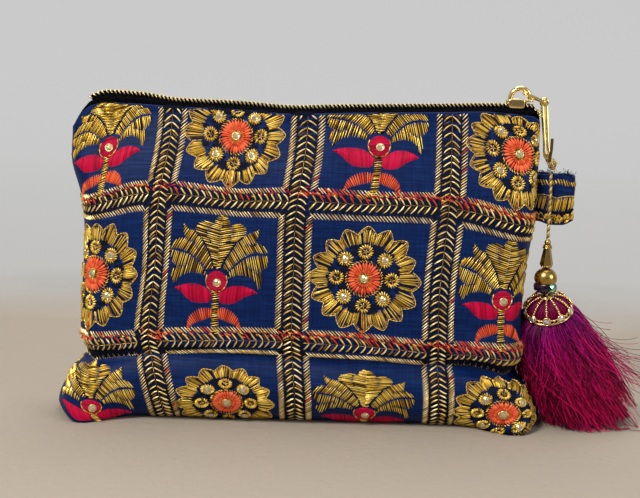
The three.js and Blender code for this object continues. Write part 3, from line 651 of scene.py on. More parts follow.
def make_skirt():
    """A core and a lid under it, dark as painted shade inside the threads; two layers of threads that
    gather in bunches, loose threads, and a few that fly out.
    """
    pile = Pile()
    t, turn = np.linspace(0, 1, 12), round_turn(60)
    # The core and its lid are dark as painted shade inside the skirt.
    core = skirt_point(t[:, None] * CORE_END, turn[None], 0.84 - 0.12 * t[:, None])
    pile.grids(core[None], closed=True, tone=0.1, along=np.linspace(0.35, 1, 12))
    lid = skirt_point(np.full((2, 1), CORE_END), turn[None], np.array((0.72, 0.01))[:, None])
    pile.grids(lid[None], closed=True, tone=0.05, along=1.0)
    bunches, shades = rng.uniform(0, 2 * math.pi, BUNCHES), rng.uniform(0, 1, BUNCHES)
    for count, spread, points, shortest in SKIRT_LAYERS:
        t = np.linspace(0, 1, points)[None]
        turn = evenly(0, 2 * math.pi, count)
        outer = rng.random((count, 1)) < 0.8
        share = np.where(outer, evenly(0.9, 1.0 + spread / 6, count), evenly(0.45, 0.9, count))
        away = (bunches[None] - turn + math.pi) % (2 * math.pi) - math.pi
        bunch = np.abs(away + about(0, 0.1, count)).argmin(1)
        nearest = np.take_along_axis(away, bunch[:, None], 1)
        drift = 0.55 * nearest * t**1.5 + about(0, spread, count) * t**1.4
        wave = spread * 0.13 * np.sin(evenly(0, 6.3, count) + t * evenly(3, 9, count)) * t
        flare = 1 + about(0.02, 0.04, count) * t + spread * about(0.05, 0.22, count) * t**2
        front_left = smooth((np.cos(turn + drift - 2.5) - 0.55) / 0.4)
        bulge = 0.3 * np.sin(math.pi * np.clip(t * 1.25, 0, 1)) * (1 - t) + 0.34 * t**2
        flare = flare + front_left * bulge
        long = rng.random((count, 1)) < 0.07
        length = np.where(long, evenly(1.03, 1.16, count), evenly(shortest, 1.03, count))
        length = length * (1 - 0.2 * smooth((np.cos(turn) - 0.1) / 0.9))
        lines = skirt_point(t * length, turn + drift + 2.5 * wave, share * (flare + wave))
        above_floor(lines, 0.25 + evenly(0, 0.6, count))
        tone = np.clip(0.16 + 0.62 * shades[bunch] ** 1.3 + rng.normal(0, 0.32, count), 0, 1)
        for k in range(4):
            part, along = slice(k, None, 4), np.clip(t[0] * 0.95 + (k - 1.5) * 0.14, 0, 1)
            pile.grids(tubes(lines[part], THREAD, 3), closed=True, tone=tone[part], along=along)
    turn = about(0.1, 0.55, LOOSE)
    t = np.linspace(0, 1, 18)[None]
    swept = rng.random((LOOSE, 1)) < 0.35
    sweep = np.where(swept, evenly(0.35, 0.8, LOOSE), evenly(0.04, 0.3, LOOSE))
    away = sweep * t**1.6 + 0.05 * np.sin(t * evenly(5, 11, LOOSE)) * t
    length = evenly(0.65, 0.9, LOOSE) * (1 - 0.45 * np.clip(sweep - 0.3, 0, 1))
    lines = above_floor(skirt_point(t * length, turn + about(0, 0.35, LOOSE) * t**2, 0.98 + away))
    tone = np.clip(rng.normal(0.45, 0.3, LOOSE), 0, 1)
    pile.grids(tubes(lines, FINE_THREAD, 3), closed=True, tone=tone, along=t[0] * 0.8)
    start = skirt_point(evenly(0.12, 0.55, WILD), about(0, 0.4, WILD), 0.97)
    reach = evenly(14, 30, WILD)
    fall = evenly(0.75, 1.15, WILD) * t - evenly(0.3, 0.6, WILD) * t**2
    lines = start + np.stack([reach * t, about(0, 0.25, WILD) * reach * t, -reach * fall], -1)
    lines[..., 0] = np.minimum(lines[..., 0], WILD_REACH)
    above_floor(lines)
    tone = np.where(rng.random(WILD) < 0.45, 0.0, 0.5)
    pile.grids(tubes(lines, WILD_THREAD, 3), closed=True, tone=tone, along=0.3 + 0.5 * t[0])
    return pile.object("thread_skirt", TASSEL_THREAD)


def make_skirt_ends():
    """The ends of the inner threads, seen when the tassel is lifted, and strays across its front."""
    own = np.random.default_rng(5)
    pile, count = Pile(), INNER_ENDS
    turn = evenly(0, 2 * math.pi, count, own)
    share = 0.86 * np.sqrt(evenly(0, 1, count, own))
    t = mix(ENDS_START, evenly(0.93, 1.0, count, own), np.linspace(0, 1, 4)[None])
    lines = above_floor(skirt_point(t, turn + about(0, 0.12, count, own) * (t - ENDS_START) / 0.2, share))
    tone = np.clip(own.normal(0.34, 0.24, count), 0, 1)
    pile.grids(tubes(lines, THREAD_END, 3), closed=True, tone=tone, along=0.9)
    t, count = np.linspace(0, 1, 16)[None], STRAYS
    start, end = evenly(0.1, 0.5, count, own), evenly(0.8, 1.04, count, own)
    turn = about(math.pi / 2, 0.75, count, own) + about(0, 0.5, count, own) * t
    swing = evenly(0.05, 0.16, count, own)
    turn = turn + swing * np.sin(evenly(0, 6.3, count, own) + t * evenly(4, 9, count, own))
    lines = above_floor(skirt_point(mix(start, end, t), turn, 1.03 + evenly(0, 0.1, count, own) * t))
    tone = np.clip(own.normal(0.72, 0.25, count), 0, 1)
    pile.grids(tubes(lines, FINE_THREAD, 3), closed=True, tone=tone, along=mix(0.45, 0.95, t[0]))
    return pile.object("thread_ends", TASSEL_THREAD)


def hang_tassel():
    cord, path = make_cord()
    knot = make_knot()
    faceted, collar, round_bead, crystal = make_beads()
    cap, cap_stones = make_cap()
    made = {
        cord: (("tassel_cord",), "gold_thread"),
        knot: (("cord_knot",), "gold_thread"),
        faceted: (("cone_bead",), "bead_gold"),
        collar: ((), "bead_gold"),
        round_bead: (("round_bead",), "bead_gold"),
        crystal: (("crystal_bead",), "crystal"),
        cap: (("tassel_cap",), "bead_gold"),
        cap_stones: ((), "crystal"),
        make_head(): (("tassel_head",), "tassel_thread"),
        make_skirt(): (("tassel_skirt",), "tassel_thread"),
        make_skirt_ends(): ((), "tassel_thread"),
    }
    for obj, (nodes, slot) in made.items():
        attach(obj, PENDANT, slot, *nodes)


hang_tassel()


# Panels

SECTION_NAMES = ("left", "left_z", "right", "right_z", "middle", "front", "back", "roll", "blend", "toe")
SECTIONS = np.array(
    [
        (0, -97.8, 115, 94.4, 124, 125, 7.5, 7.5, 2.6, 26, 0),
        (11, -98.2, 108, 95, 114, 115, 11.5, 10.5, 6, 26, 0),
        (34, -93.6, 88, 94.8, 91, 93, 17.5, 14.5, 9, 26, 0),
        (62, -92.4, 66, 92.2, 65, 65, 20.5, 17, 10, 26, 0),
        (88, -94.2, 40, 91.2, 38, 39, 21.5, 18, 10, 26, 0),
        (100, -91.5, 27, 90.3, 23, 28, 19.6, 17.4, 9, 26, 0),
        (113, -98.2, 16.4, 97, 13, 15.5, 22.5, 19.5, 8, 20, 2.5),
        (125, -102.6, 8.6, 100.4, 6.6, 5.4, 18.5, 17.5, 8.5, 15, 7),
        (134, -103.6, 4.4, 101.2, 3.4, 0, 9.5, 12, 10, 13, 14),
        (152, -103.8, 3.2, 101.4, 2.4, 0, 0, 0, 12, 13, 0),
    ]
)
section = {name: column(SECTIONS[:, 0], SECTIONS[:, k + 1]) for k, name in enumerate(SECTION_NAMES)}
ZIP_LINE = np.array(
    [
        (-97, 120.5), (-95.4, 123.6), (-92.5, 128), (-88.5, 131.6), (-83, 133.1), (-70, 132.6),
        (-54, 130.6), (-29, 130.1), (-8, 129), (12, 129.9), (53, 131.4), (79, 132.3),
        (91.8, 132.3), (92.4, 132.1), (93, 131.6),
    ]
)
zip_height = column(ZIP_LINE[:, 0], ZIP_LINE[:, 1])
MOUTH_LINE = np.array(
    [
        (-98, 0.6), (-92.5, 2.0), (-87, 3.2), (-75, 3.3), (-66, 2.8), (-56, 1.9),
        (-42, 1.7), (69, 1.7), (81, 2.3), (90, 3.2), (95, 3.6),
    ]
)
mouth_below = column(MOUTH_LINE[:, 0], MOUTH_LINE[:, 1])
FULL_DROP, FOOT_DROP, TOE_DROP = 152, 134, 125
CLOTH_GAP, CLOTH, SEAM_GAP, MOUTH_FADE = 0.3, 1.6, 0.3, 30
MIDDLE_X = -4.0  # the middle column of embroidery, at the upper band


def tape_half(x):
    return 5.6 - 1.7 * (1 - smooth((x + 97) / 14))


def panel_points(side, across, drop):
    """Points of a panel's outer face, as in the CAD."""
    across, drop = np.broadcast_arrays(np.asarray(across, float), np.asarray(drop, float))
    at = {name: curve(drop) for name, curve in section.items()}
    x = mix(at["left"], at["right"], 0.5 + 0.5 * np.sin(math.pi / 2 * across))
    edge = np.minimum(x - at["left"], at["right"] - x)
    bend = np.sqrt(np.clip(1 - (1 - np.clip(edge / at["roll"], 0, 1)) ** 2, 0, 1))
    full = mix(mix(0.82, 1, 1 - across**2), 1, smooth((drop - TOE_DROP) / (FOOT_DROP - TOE_DROP)))
    toe = at["toe"] * np.exp(-(((edge - 13) / 14) ** 2))
    depth = -at["front"] * full - toe if side < 0 else at["back"] * full + 0.5 * toe
    near = 1 - np.clip(drop / MOUTH_FADE, 0, 1)
    depth = mix(depth, side * (tape_half(x) + CLOTH_GAP + CLOTH), near**3)
    z = mix(np.where(across < 0, at["left_z"], at["right_z"]), at["middle"], smooth(edge / at["blend"]))
    z = mix(z, zip_height(x) - mouth_below(x) - drop, near**2)
    back = 3 * smooth((drop - FOOT_DROP) / (FULL_DROP - FOOT_DROP)) * smooth(edge / 40)
    return np.stack([x, side * SEAM_GAP / 2 + depth * bend + back, z], -1)


class Cloth:
    """A face of cloth as a table of points: s along it, d down it."""

    def __init__(self, s, d, points, low, high, outward):
        self.s, self.d, self.points, self.low, self.high = s, d, points, low, high
        self.outward = outward
        self.set_normals()

    def set_normals(self):
        across, down = np.gradient(self.points, axis=1), np.gradient(self.points, axis=0)
        self.normals = unit(np.cross(across, down)) * self.outward

    def at(self, s, d):
        """Points, normals, and whether each place is on the cloth."""
        s, d = np.broadcast_arrays(np.asarray(s, float), np.asarray(d, float))
        i = np.clip((s - self.s[0]) / (self.s[1] - self.s[0]), 0, len(self.s) - 1.001)
        j = np.clip((d - self.d[0]) / (self.d[1] - self.d[0]), 0, len(self.d) - 1.001)
        i0, j0 = i.astype(int), j.astype(int)
        a, b = (i - i0)[..., None], (j - j0)[..., None]
        found = []
        for values in (self.points, self.normals):
            upper = mix(values[j0, i0], values[j0, i0 + 1], a)
            lower = mix(values[j0 + 1, i0], values[j0 + 1, i0 + 1], a)
            found.append(mix(upper, lower, b))
        low, high = np.interp(d, self.d, self.low), np.interp(d, self.d, self.high)
        inside = (s > low) & (s < high) & (d > self.d[0]) & (d < self.d[-1])
        return found[0], unit(found[1]), inside


def relief(side, s, d):
    """Soft unevenness of the filled cloth, and the creases above the base."""
    rise = 0.45 * np.sin(s / 11.0 + 0.8 * np.sin(d / 19.0)) * np.sin(d / 13.0 + 0.5 * side)
    rise += 0.35 * np.sin(s / 5.3 + d / 31.0 + side) * np.exp(-d / 22)
    rise += 0.3 * np.sin(s / 7.1 - d / 8.3 + 2 * side)
    right, left = smooth((s - 40) / 35), smooth((-52 - s) / 30)
    fold = 100.5 + 1.5 * np.sin(s / 24)
    rise -= (0.9 + 2.6 * right + 1.6 * left) * np.exp(-(((d - fold) / 2.7) ** 2))
    rise += (0.6 + 1.6 * right + 1.0 * left) * np.exp(-(((d - fold + 7) / 4.5) ** 2))
    rise += (0.5 + 0.7 * right + 0.6 * left) * np.exp(-(((d - fold - 7) / 4.5) ** 2))
    return rise


def panel_cloth(side):
    d = np.arange(0, FULL_DROP + 0.1, 0.5)
    s = np.arange(-126, 126.1, 0.5)
    across = np.linspace(-1, 1, 801)
    rows = panel_points(side, across[None], d[:, None])
    run = np.array([run_of(row) for row in rows])
    run -= np.array([np.interp(MIDDLE_X, rows[j, :, 0], run[j]) for j in range(len(d))])[:, None]
    spread = np.array([np.interp(s, run[j], across) for j in range(len(d))])
    cloth = Cloth(s, d, panel_points(side, spread, d[:, None]), run[:, 0], run[:, -1], side)
    inward = np.minimum(s[None] - cloth.low[:, None], cloth.high[:, None] - s[None])
    quiet = smooth(inward / 9) * smooth(d[:, None] / 7) * (1 - smooth((d[:, None] - 117) / 11))
    cloth.points = cloth.points + cloth.normals * (relief(side, s[None], d[:, None]) * quiet)[..., None]
    cloth.points[..., 2] = np.maximum(cloth.points[..., 2], 0)
    cloth.set_normals()
    return cloth


PANEL = {-1: panel_cloth(-1), 1: panel_cloth(1)}


HEM = 0.55  # the radius of its fold


def make_panel(side, name):
    """The panel's cloth, with the hem of its mouth turned in."""
    cloth = PANEL[side]
    d = np.concatenate([np.linspace(0, 12, 14), np.linspace(12.8, FULL_DROP, 124)])
    low, high = np.interp(d, cloth.d, cloth.low), np.interp(d, cloth.d, cloth.high)
    s = mix(low[:, None], high[:, None], np.linspace(0, 1, 190)[None])
    points, normals, _ = cloth.at(s, d[:, None])
    mouth, out = points[0], normals[0]
    hem = []
    for share, drop in ((1, 4.0), (1, 2.0), (1, 0.6), (0.8, 0), (0.6, 0), (0.4, 0), (0.2, 0)):
        turn = share * math.pi
        rise = HEM * math.sin(turn) - drop
        hem.append(mouth - out * HEM * (1 - math.cos(turn)) + np.array((0, 0, rise)))
    grid = np.concatenate([np.stack(hem), points])
    pile = Pile()
    pile.grids(grid[None])
    uv_d = np.concatenate([np.linspace(-6, -0.4, len(hem)), d])
    uv_s = np.concatenate([np.repeat(s[:1], len(hem), 0), s])
    uv = np.stack([uv_s, np.broadcast_to(uv_d[:, None], grid.shape[:2])], -1) / 100
    return pile.object(name, SILK, uv=uv.reshape(-1, 2))


# Embroidery. A stitch is a row: x0, y0, x1, y1, width, height, tone, and for a curved one its bow.


def hatch(outline, angle, pitch, width, height, longest=5.0, loose=0.12, tone=0.5):
    """Stitches side by side across an outline, at an angle in degrees."""
    outline = np.asarray(outline, float)
    along = np.array((math.cos(math.radians(angle)), math.sin(math.radians(angle))))
    across = np.array((-along[1], along[0]))
    u, v = outline @ along, outline @ across
    u2, v2 = np.roll(u, -1), np.roll(v, -1)
    rows = []
    for level in np.arange(v.min() + pitch * 0.4, v.max(), pitch):
        level += rng.normal(0, loose * pitch)
        crossing = (v <= level) != (v2 <= level)
        ends = np.sort(u[crossing] + (level - v[crossing]) / (v2 - v)[crossing] * (u2 - u)[crossing])
        for a, b in zip(ends[::2], ends[1::2]):
            if b - a < 0.35:
                continue
            parts = max(1, math.ceil((b - a) / longest))
            cuts = np.linspace(a, b, parts + 1)
            cuts[1:-1] += rng.normal(0, 0.4, parts - 1)
            cuts[0] -= abs(rng.normal(0, loose))
            cuts[-1] += abs(rng.normal(0, loose))
            for k in range(parts):
                start, end = cuts[k] * along + level * across, cuts[k + 1] * along + level * across
                rows.append((*start, *end, width, height, rng.normal(tone, 0.26)))
    return rows


def bright_hatch(outline, angle, pitch, longest=7.0):
    """Bright gold stitches over a wide, low, near-black layer, painted shade in the gaps between them."""
    # The low layer is painted shade, dark where the gaps between the stitches show.
    gap_shade = hatch(outline, angle + 3, 1.8 * pitch, 1.9 * pitch, 0.2, longest, 0.08, -0.2)
    return gap_shade + hatch(outline, angle, pitch, 0.5 * pitch, 0.58, longest, 0.14, 0.8)


def line_of(points, width, height, tone=0.65):
    """A couched thread along a line, as short stitches end to end."""
    points = np.asarray(points, float)
    return [(*a, *b, width, height, rng.normal(tone, 0.12)) for a, b in zip(points, points[1:])]


def polar(radius, degrees):
    turn = np.radians(degrees)
    return np.stack([radius * np.cos(turn), radius * np.sin(turn)], -1)


FAN_LEFT = [
    (0, 4.7), (-1.3, 5.7), (-2, 9), (-4, 13.1), (-6.7, 17.1), (-9.4, 19.8), (-9.7, 20.8),
    (-8.7, 22.8), (-5.7, 24), (-2.7, 23.3), (-1.8, 23.8), (-1.3, 25.5), (0.3, 27.1), (1.2, 27.1),
]
FAN_RIGHT = [
    (0, 4.7), (1.2, 27.1), (2, 27.1), (3.7, 25.5), (4.4, 23.3), (5.7, 23.3), (9, 24), (11.1, 22.4),
    (11.7, 20.4), (10.7, 18.8), (7.4, 16.4), (4.7, 11.7), (2, 7.7), (1.3, 5),
]
UPPER_LEFT = [
    (-2, 5), (-2.7, 9), (-4.9, 13.1), (-7.9, 17.4), (-10.1, 19.4), (-12.7, 19.8), (-15.1, 22.4),
    (-14.7, 18.8), (-13.7, 16.4), (-16.8, 16.4), (-19.1, 14.4), (-19.9, 12.7), (-16.1, 12.7),
    (-12.1, 11.4), (-8.7, 9), (-6, 6.4), (-4, 4.4),
]
LOWER_LEFT = [
    (-4.7, 3.7), (-6, 5.5), (-8.4, 8.1), (-11.7, 10.1), (-16.1, 11.3), (-19.9, 12.2), (-19.8, 9.7),
    (-19.1, 7.4), (-17.3, 5.7), (-18.9, 3.7), (-18.8, 1.7), (-17.3, -1.2), (-15.6, 1), (-13.7, 2.3),
    (-10.4, 3), (-7.7, 2.7), (-5, 2),
]
UPPER_RIGHT = [
    (2.7, 5), (3.6, 7.7), (5.9, 11.7), (8.6, 16.1), (11.1, 18.4), (13.4, 19.8), (15.7, 20.8),
    (16.9, 21.9), (16.6, 18.8), (16.1, 16.1), (18.4, 15.4), (20.1, 13.7), (20.9, 11.9),
    (16.8, 12.4), (13.4, 11.6), (10.1, 9.6), (7.4, 7.2), (4.7, 3.9),
]
LOWER_RIGHT = [
    (5, 3.2), (7.4, 5.8), (10.4, 8.4), (13.4, 10.1), (16.8, 10.9), (20.9, 10.9), (21.1, 8.4),
    (20.4, 6), (18.1, 4), (18.9, 0.3), (18.3, -2.3), (17.4, -2.7), (16.1, 0), (13.7, 1.7),
    (10.7, 2.5), (7.4, 2), (5, 1),
]
RED_LEFT = [
    (-17.3, -2.7), (-14.4, -1.7), (-11.7, -1.2), (-8.7, -1.2), (-6, -1.7), (-3.7, -3), (-1.8, -4.7),
    (-1.8, -7.4), (-3, -8.5), (-6, -8.7), (-9.4, -8.4), (-11.7, -6.7), (-13.7, -4.7), (-15.4, -3.5),
]
RED_RIGHT = [
    (1.5, -4.5), (3.7, -3), (6.7, -1.8), (10.7, -1.7), (12.7, -2.2), (15.1, -3), (17.3, -4.5),
    (14.7, -5), (11.7, -6.2), (8.4, -8.4), (5.7, -9.2), (2.7, -9), (1.2, -7.7),
]
ORANGE_LEFT = [
    (-1.7, -10.7), (-4, -10.2), (-6.7, -10.7), (-9, -12.1), (-10.4, -13.7), (-11.1, -16.4),
    (-11.2, -19.6), (-9.7, -17.9), (-8.4, -16.8), (-6, -15.9), (-3.7, -15.2), (-1.8, -14.4),
]
ORANGE_RIGHT = [
    (1.3, -10.7), (2.7, -10.2), (5.4, -10.9), (7.7, -12.6), (9.4, -14.7), (10.2, -17.4),
    (10.4, -20.1), (9, -18.4), (7, -17.1), (4.7, -16.2), (2.7, -15.4), (1.3, -14.6),
]
STEM = [(-1.5, -4.2), (1.3, -4.2), (1.4, -21), (-1.6, -21)]


def grown(outline, by):
    """An outline moved outwards."""
    outline = np.asarray(outline, float)
    after = np.roll(outline, -1, 0)
    along = unit(after - np.roll(outline, 1, 0))
    turn = np.sign((outline[:, 0] * after[:, 1] - after[:, 0] * outline[:, 1]).sum())
    return outline + np.stack([along[:, 1], -along[:, 0]], 1) * by * turn


def ladder(first, second, count, width, height, tone=0.5):
    """Stitches side by side from one edge of a leaf to the other."""
    ends = []
    for edge in (first, second):
        edge = np.asarray(edge, float)
        run = run_of(edge)
        even = np.linspace(0, run[-1], count)
        ends.append(np.stack([np.interp(even, run, edge[:, k]) for k in range(2)], 1))
    return [(*a, *b, width, height, rng.normal(tone, 0.2)) for a, b in zip(*ends)]


LEAF_PITCH = 0.86  # from one stitch of a gold leaf to the next
FOOT_STRETCH = 1.05  # of the plume below its flower


def plume():
    """The plume, about its flower: stitches for each thread, and its stones as x, y, radius."""
    gold = []
    for leaf, angle in ((LOWER_LEFT, 76), (LOWER_RIGHT, 102), (STEM, 8)):
        gold += bright_hatch(leaf, angle, LEAF_PITCH)
    for leaf, angle in ((UPPER_LEFT, 58), (UPPER_RIGHT, 122), (FAN_LEFT, -13), (FAN_RIGHT, 13)):
        gold += bright_hatch(grown(leaf, 0.25), angle, LEAF_PITCH)
    # Near-black lines along the fan's sides, painted shadow between the fan and the upper leaves.
    navy_and_shade = line_of(grown(FAN_LEFT, 0.5)[1:6], 1.0, 0.3) + line_of(grown(FAN_RIGHT, 0.5)[-5:], 1.0, 0.3)
    gold += line_of(polar(4.45, np.arange(150, 391, 30)), 0.42, 0.6, 0.7)
    red = hatch(RED_LEFT, 97, 0.5, 0.8, 0.55, 9, 0.04) + hatch(RED_RIGHT, 84, 0.5, 0.8, 0.55, 9, 0.04)
    red += hatch(polar(4.4, np.arange(0, 360, 15)) * (1, 0.92) - (0, 0.3), 4, 0.5, 0.8, 0.8, 9, 0.04)
    orange = []
    for leaf in (ORANGE_LEFT, ORANGE_RIGHT):
        edges = leaf[:7], leaf[:5:-1]
        # First a low dark layer, painted shade in the gaps between the bright stitches laid over it.
        orange += ladder(*edges, 12, 1.1, 0.2, -0.1) + ladder(*edges, 17, 0.6, 0.6, 0.6)
    sewn = {"gold": gold, "navy_and_shade": navy_and_shade, "crimson": red, "orange": orange}
    for rows in sewn.values():
        for k, (x0, y0, x1, y1, *rest) in enumerate(rows):
            rows[k] = (x0, min(y0, y0 * FOOT_STRETCH), x1, min(y1, y1 * FOOT_STRETCH), *rest)
    return sewn, [(0.3, -0.9, 1.45)]


PETALS, PETAL_TIP, PETAL_NOTCH, PETAL_ROUND = 16, 22.3, 3.5, 1.35
CIRCLES, CIRCLE_OUT = 8, 11.0


def rosette():
    """The rosette, about its middle."""
    gold, orange, outline, stones = [], [], [], [(0, 0, 1.5)]
    half = 180 / PETALS

    def spokes(rows, spot, inner, outer, count, twist, width, height, tone):
        for turn in np.linspace(0, 360, count, endpoint=False) + rng.normal(0, 0.8, count):
            a, b = polar(inner, turn) + spot, polar(outer + rng.normal(0, 0.08), turn + twist) + spot
            rows.append((*a, *b, width, height, rng.normal(tone, 0.2)))

    for k in range(PETALS):
        middle = 90 + 2 * half * k
        tip = PETAL_TIP + rng.normal(0, 0.4)
        edge = np.linspace(-1, 1, 9)
        rim = tip - PETAL_NOTCH * np.abs(edge) ** PETAL_ROUND
        gold += line_of(polar(rim, middle + half * edge), 0.4, 0.5, 0.8)
        gold += line_of(polar(rim - 0.7, middle + half * 0.93 * edge), 0.3, 0.4, 0.5)
        gold += line_of(polar(np.array((14.6, 16.6, 18.6)), np.full(3, middle + half)), 0.4, 0.5, 0.6)
        outline += polar(rim - 0.6, middle + half * edge)[:-1].tolist()
        gap = rng.choice((-1, 1)) * rng.uniform(0.35, 0.95)
        for share in np.linspace(-0.86, 0.86, 13):
            if abs(share - gap) < 0.14:
                continue
            place = middle + half * share + rng.normal(0, 0.35)
            end = tip - PETAL_NOTCH * abs(share) ** PETAL_ROUND - abs(rng.normal(0.5, 0.5))
            a, b = polar(13.7 + abs(rng.normal(0, 0.5)), place), polar(end, place + rng.normal(0, 0.5))
            gold.append((*a, *b, 0.42, 0.5, rng.normal(0.72, 0.24)))
    for k in range(CIRCLES):
        spot = polar(CIRCLE_OUT, 90 + 360 / CIRCLES * k)
        spokes(gold, spot, 1.45, 3.15, 17, 16, 0.62, 0.95, 0.78)
        if k % 2:
            stones.append((*spot, 1.35))
        else:
            spokes(gold, spot, 0.1, 1.4, 5, 0, 0.36, 0.5, 0.7)
    # First a low dark layer, painted shade in the gaps between the orange stitches laid over it.
    spokes(orange, 0, 1.6, 6.4, 26, 0, 1.6, 0.2, -0.1)
    spokes(orange, 0, 3.6, 6.8, 30, 1, 1.08, 0.8, 0.74)
    spokes(orange, 0, 1.7, 4.4, 30, 1, 0.56, 0.75, 0.66)
    spokes(gold, 0, 6.7, 7.7, 40, 8, 0.4, 0.5, 0.65)
    spokes(gold, 0, 1.5, 2.5, 16, 12, 0.5, 0.9, 0.55)
    orange += line_of([(0, -15), (0.2, -18), (0, -21), (-0.3, -24)], 0.8, 0.6, 0.35)
    # A near-black sheet under the petals, painted shade in the gaps between the gold stitches.
    navy_and_shade = hatch(outline, 0, 2.4, 2.9, 0.2, 9.0, 0.02)
    return {"gold": gold, "navy_and_shade": navy_and_shade, "orange": orange}, stones


PITCH_X, PITCH_Y = 59.0, 60.0
EDGE = 5.6  # from the middle of a band to its stitched edges
CHEVRON_STEP, EDGE_STEP, FILL_STEP = 2.75, 1.3, 0.6
FILL_SHARES = (0.48, 0.3, 0.22)  # orange, crimson and gold, in the upper half of a level band


def band(along_x, middle, start, stop, skips):
    """A band of chevrons between two stitched edges. skips are where another band crosses it."""
    gold, arms, orange, crimson, navy_and_shade = [], [], [], [], []
    rise = 0.6 if along_x else 0.0

    def add(rows, u0, v0, u1, v1, *rest):
        a, b = ((u0, middle + v0), (u1, middle + v1)) if along_x else ((middle + v0, u0), (middle + v1, u1))
        rows.append((*a, *b, *rest))

    def crossed(u, reach):
        return any(abs(u - skip) < reach for skip in skips)

    def warmth(u):
        return mix(0.8, 2.6, smooth((u + 12) / 30))

    for u in np.arange(start, stop, CHEVRON_STEP):
        if along_x and crossed(u - 1, 3.6):
            continue
        # A near-black sheet across the band, painted shade between its stitches.
        add(navy_and_shade, u - 1, -7.0, u - 1, 7.0, 3.4, 0.16, 0.0)
        for side in (-1, 1):
            reach, shift = rise + side * rng.normal(3.5, 0.15), rng.normal(0, 0.12)
            warm = along_x and side > 0 and rng.random() < 0.1 * warmth(u)
            bow = rng.normal(0.045, 0.045) * (-side if along_x else side)
            ends = u, rise + 0.1 * side, u - 2.3 + shift, reach
            if warm:
                add(orange, *ends, 0.68, 0.7, 0.3)
            else:
                add(arms, *ends, 0.68, 0.7, rng.normal(0.8, 0.16), bow)
            if rng.random() < 0.4:
                ends = u - 1.3, rise + 0.4 * side, u - 3.3 + shift, reach
                add(gold, *ends, 0.3, 0.35, rng.normal(0.3, 0.15))
        add(gold, u - CHEVRON_STEP, rise, u, rise, 0.24, 0.3, rng.normal(0.42, 0.15))
    if along_x:
        for u in np.arange(start, stop, FILL_STEP):
            if rng.random() < 0.6 * warmth(u):
                v = rng.normal(3.7, 0.8)
                rows, tone = ((orange, 0.5), (crimson, 0.2), (gold, 0.75))[rng.choice(3, p=FILL_SHARES)]
                ends = u, v, u - rng.uniform(0.8, 2.0), v + rng.uniform(0.6, 1.6)
                add(rows, *ends, 0.5, 0.8, rng.normal(tone, 0.15))
    slant = 2.4 if along_x else -2.5
    for side in (-1, 1):
        for u in np.arange(start, stop, EDGE_STEP):
            if crossed(u, 6.2):
                continue
            u += rng.normal(0, 0.08)
            warm = side > 0 and rng.random() < (0.1 * warmth(u) if along_x else 0.04)
            low, high = side * EDGE - 1.4, side * EDGE + 1.3
            ends = u + slant / 2, low, u - slant / 2, high
            if warm:
                add(orange, *ends, 0.44, 0.6, rng.normal(0.4, 0.15))
            else:
                add(arms, *ends, 0.44, 0.6, rng.normal(0.86, 0.2), 0.0)
            if rng.random() < 0.5:
                inner = side * (EDGE - 0.7)
                ends = u + 0.6 + slant / 4, inner - 0.7, u + 0.6 - slant / 4, inner + 0.7
                add(gold, *ends, 0.3, 0.4, rng.normal(0.4, 0.2))
    return {"gold": gold, "arms": arms, "orange": orange, "crimson": crimson, "navy_and_shade": navy_and_shade}


PLUME_PLACE, ROSETTE_PLACE = (-2.2, -4.1), (-1.5, -0.7)
COLUMNS = (-PITCH_X, 0.0, PITCH_X)
ROWS = (0.0, -PITCH_Y)
FLATTER = {(0, 0): 23, (1, 0): 25, (2, 0): 23, (3, 0): 18, (1, 2): 45, (2, 2): 60}  # by column and row


def flattened(y, height):
    """Heights in a motif that is sewn flatter above its middle."""
    return np.where(np.asarray(y) > 0, height * (1 - np.exp(-np.maximum(y, 0) / height)), y)


def whole_pattern():
    """Stitches and stones of a panel, about the middle crossing of its upper band; y is up the cloth."""
    sewn = {"navy_and_shade": [], "gold": [], "arms": [], "crimson": [], "orange": []}
    stones = []
    for x in COLUMNS:
        for key, rows in band(False, x, -122, 44, ROWS).items():
            sewn[key] += rows
    for y in ROWS:
        for key, rows in band(True, y, -122, 122, COLUMNS).items():
            sewn[key] += rows
    for i in range(4):
        for j in range(3):
            motif, gems = plume() if (i + j) % 2 == 0 else rosette()
            shift = PLUME_PLACE if (i + j) % 2 == 0 else ROSETTE_PLACE
            height = FLATTER.get((i, j), 1e6)
            centre = np.array((PITCH_X * (i - 1.5) + shift[0], PITCH_Y * (0.5 - j) + shift[1]))
            for key, rows in motif.items():
                if rows:
                    rows = np.array(rows)
                    rows[:, 1:4:2] = flattened(rows[:, 1:4:2], height)
                    rows[:, :4] += (*centre, *centre)
                    sewn[key] += rows.tolist()
            for x, y, radius in gems:
                stones.append((centre[0] + x, centre[1] + float(flattened(y, height)), radius))
    for x in COLUMNS:
        for y in ROWS:
            for spot in rng.normal((x + 1, y + 5), (3.2, 1.0), (9, 2)):
                end = spot + polar(rng.uniform(1.2, 2.6), rng.normal(-35, 30))
                key = "crimson" if rng.random() < 0.5 else "orange"
                sewn[key].append((*spot, *end, 0.36, 0.85, rng.normal(0.4, 0.15)))
    return {key: np.array(rows) for key, rows in sewn.items()}, np.array(stones)


BAND_DROP = 35.0  # the upper band, down from the mouth
SHIFT_REACH = 18.0
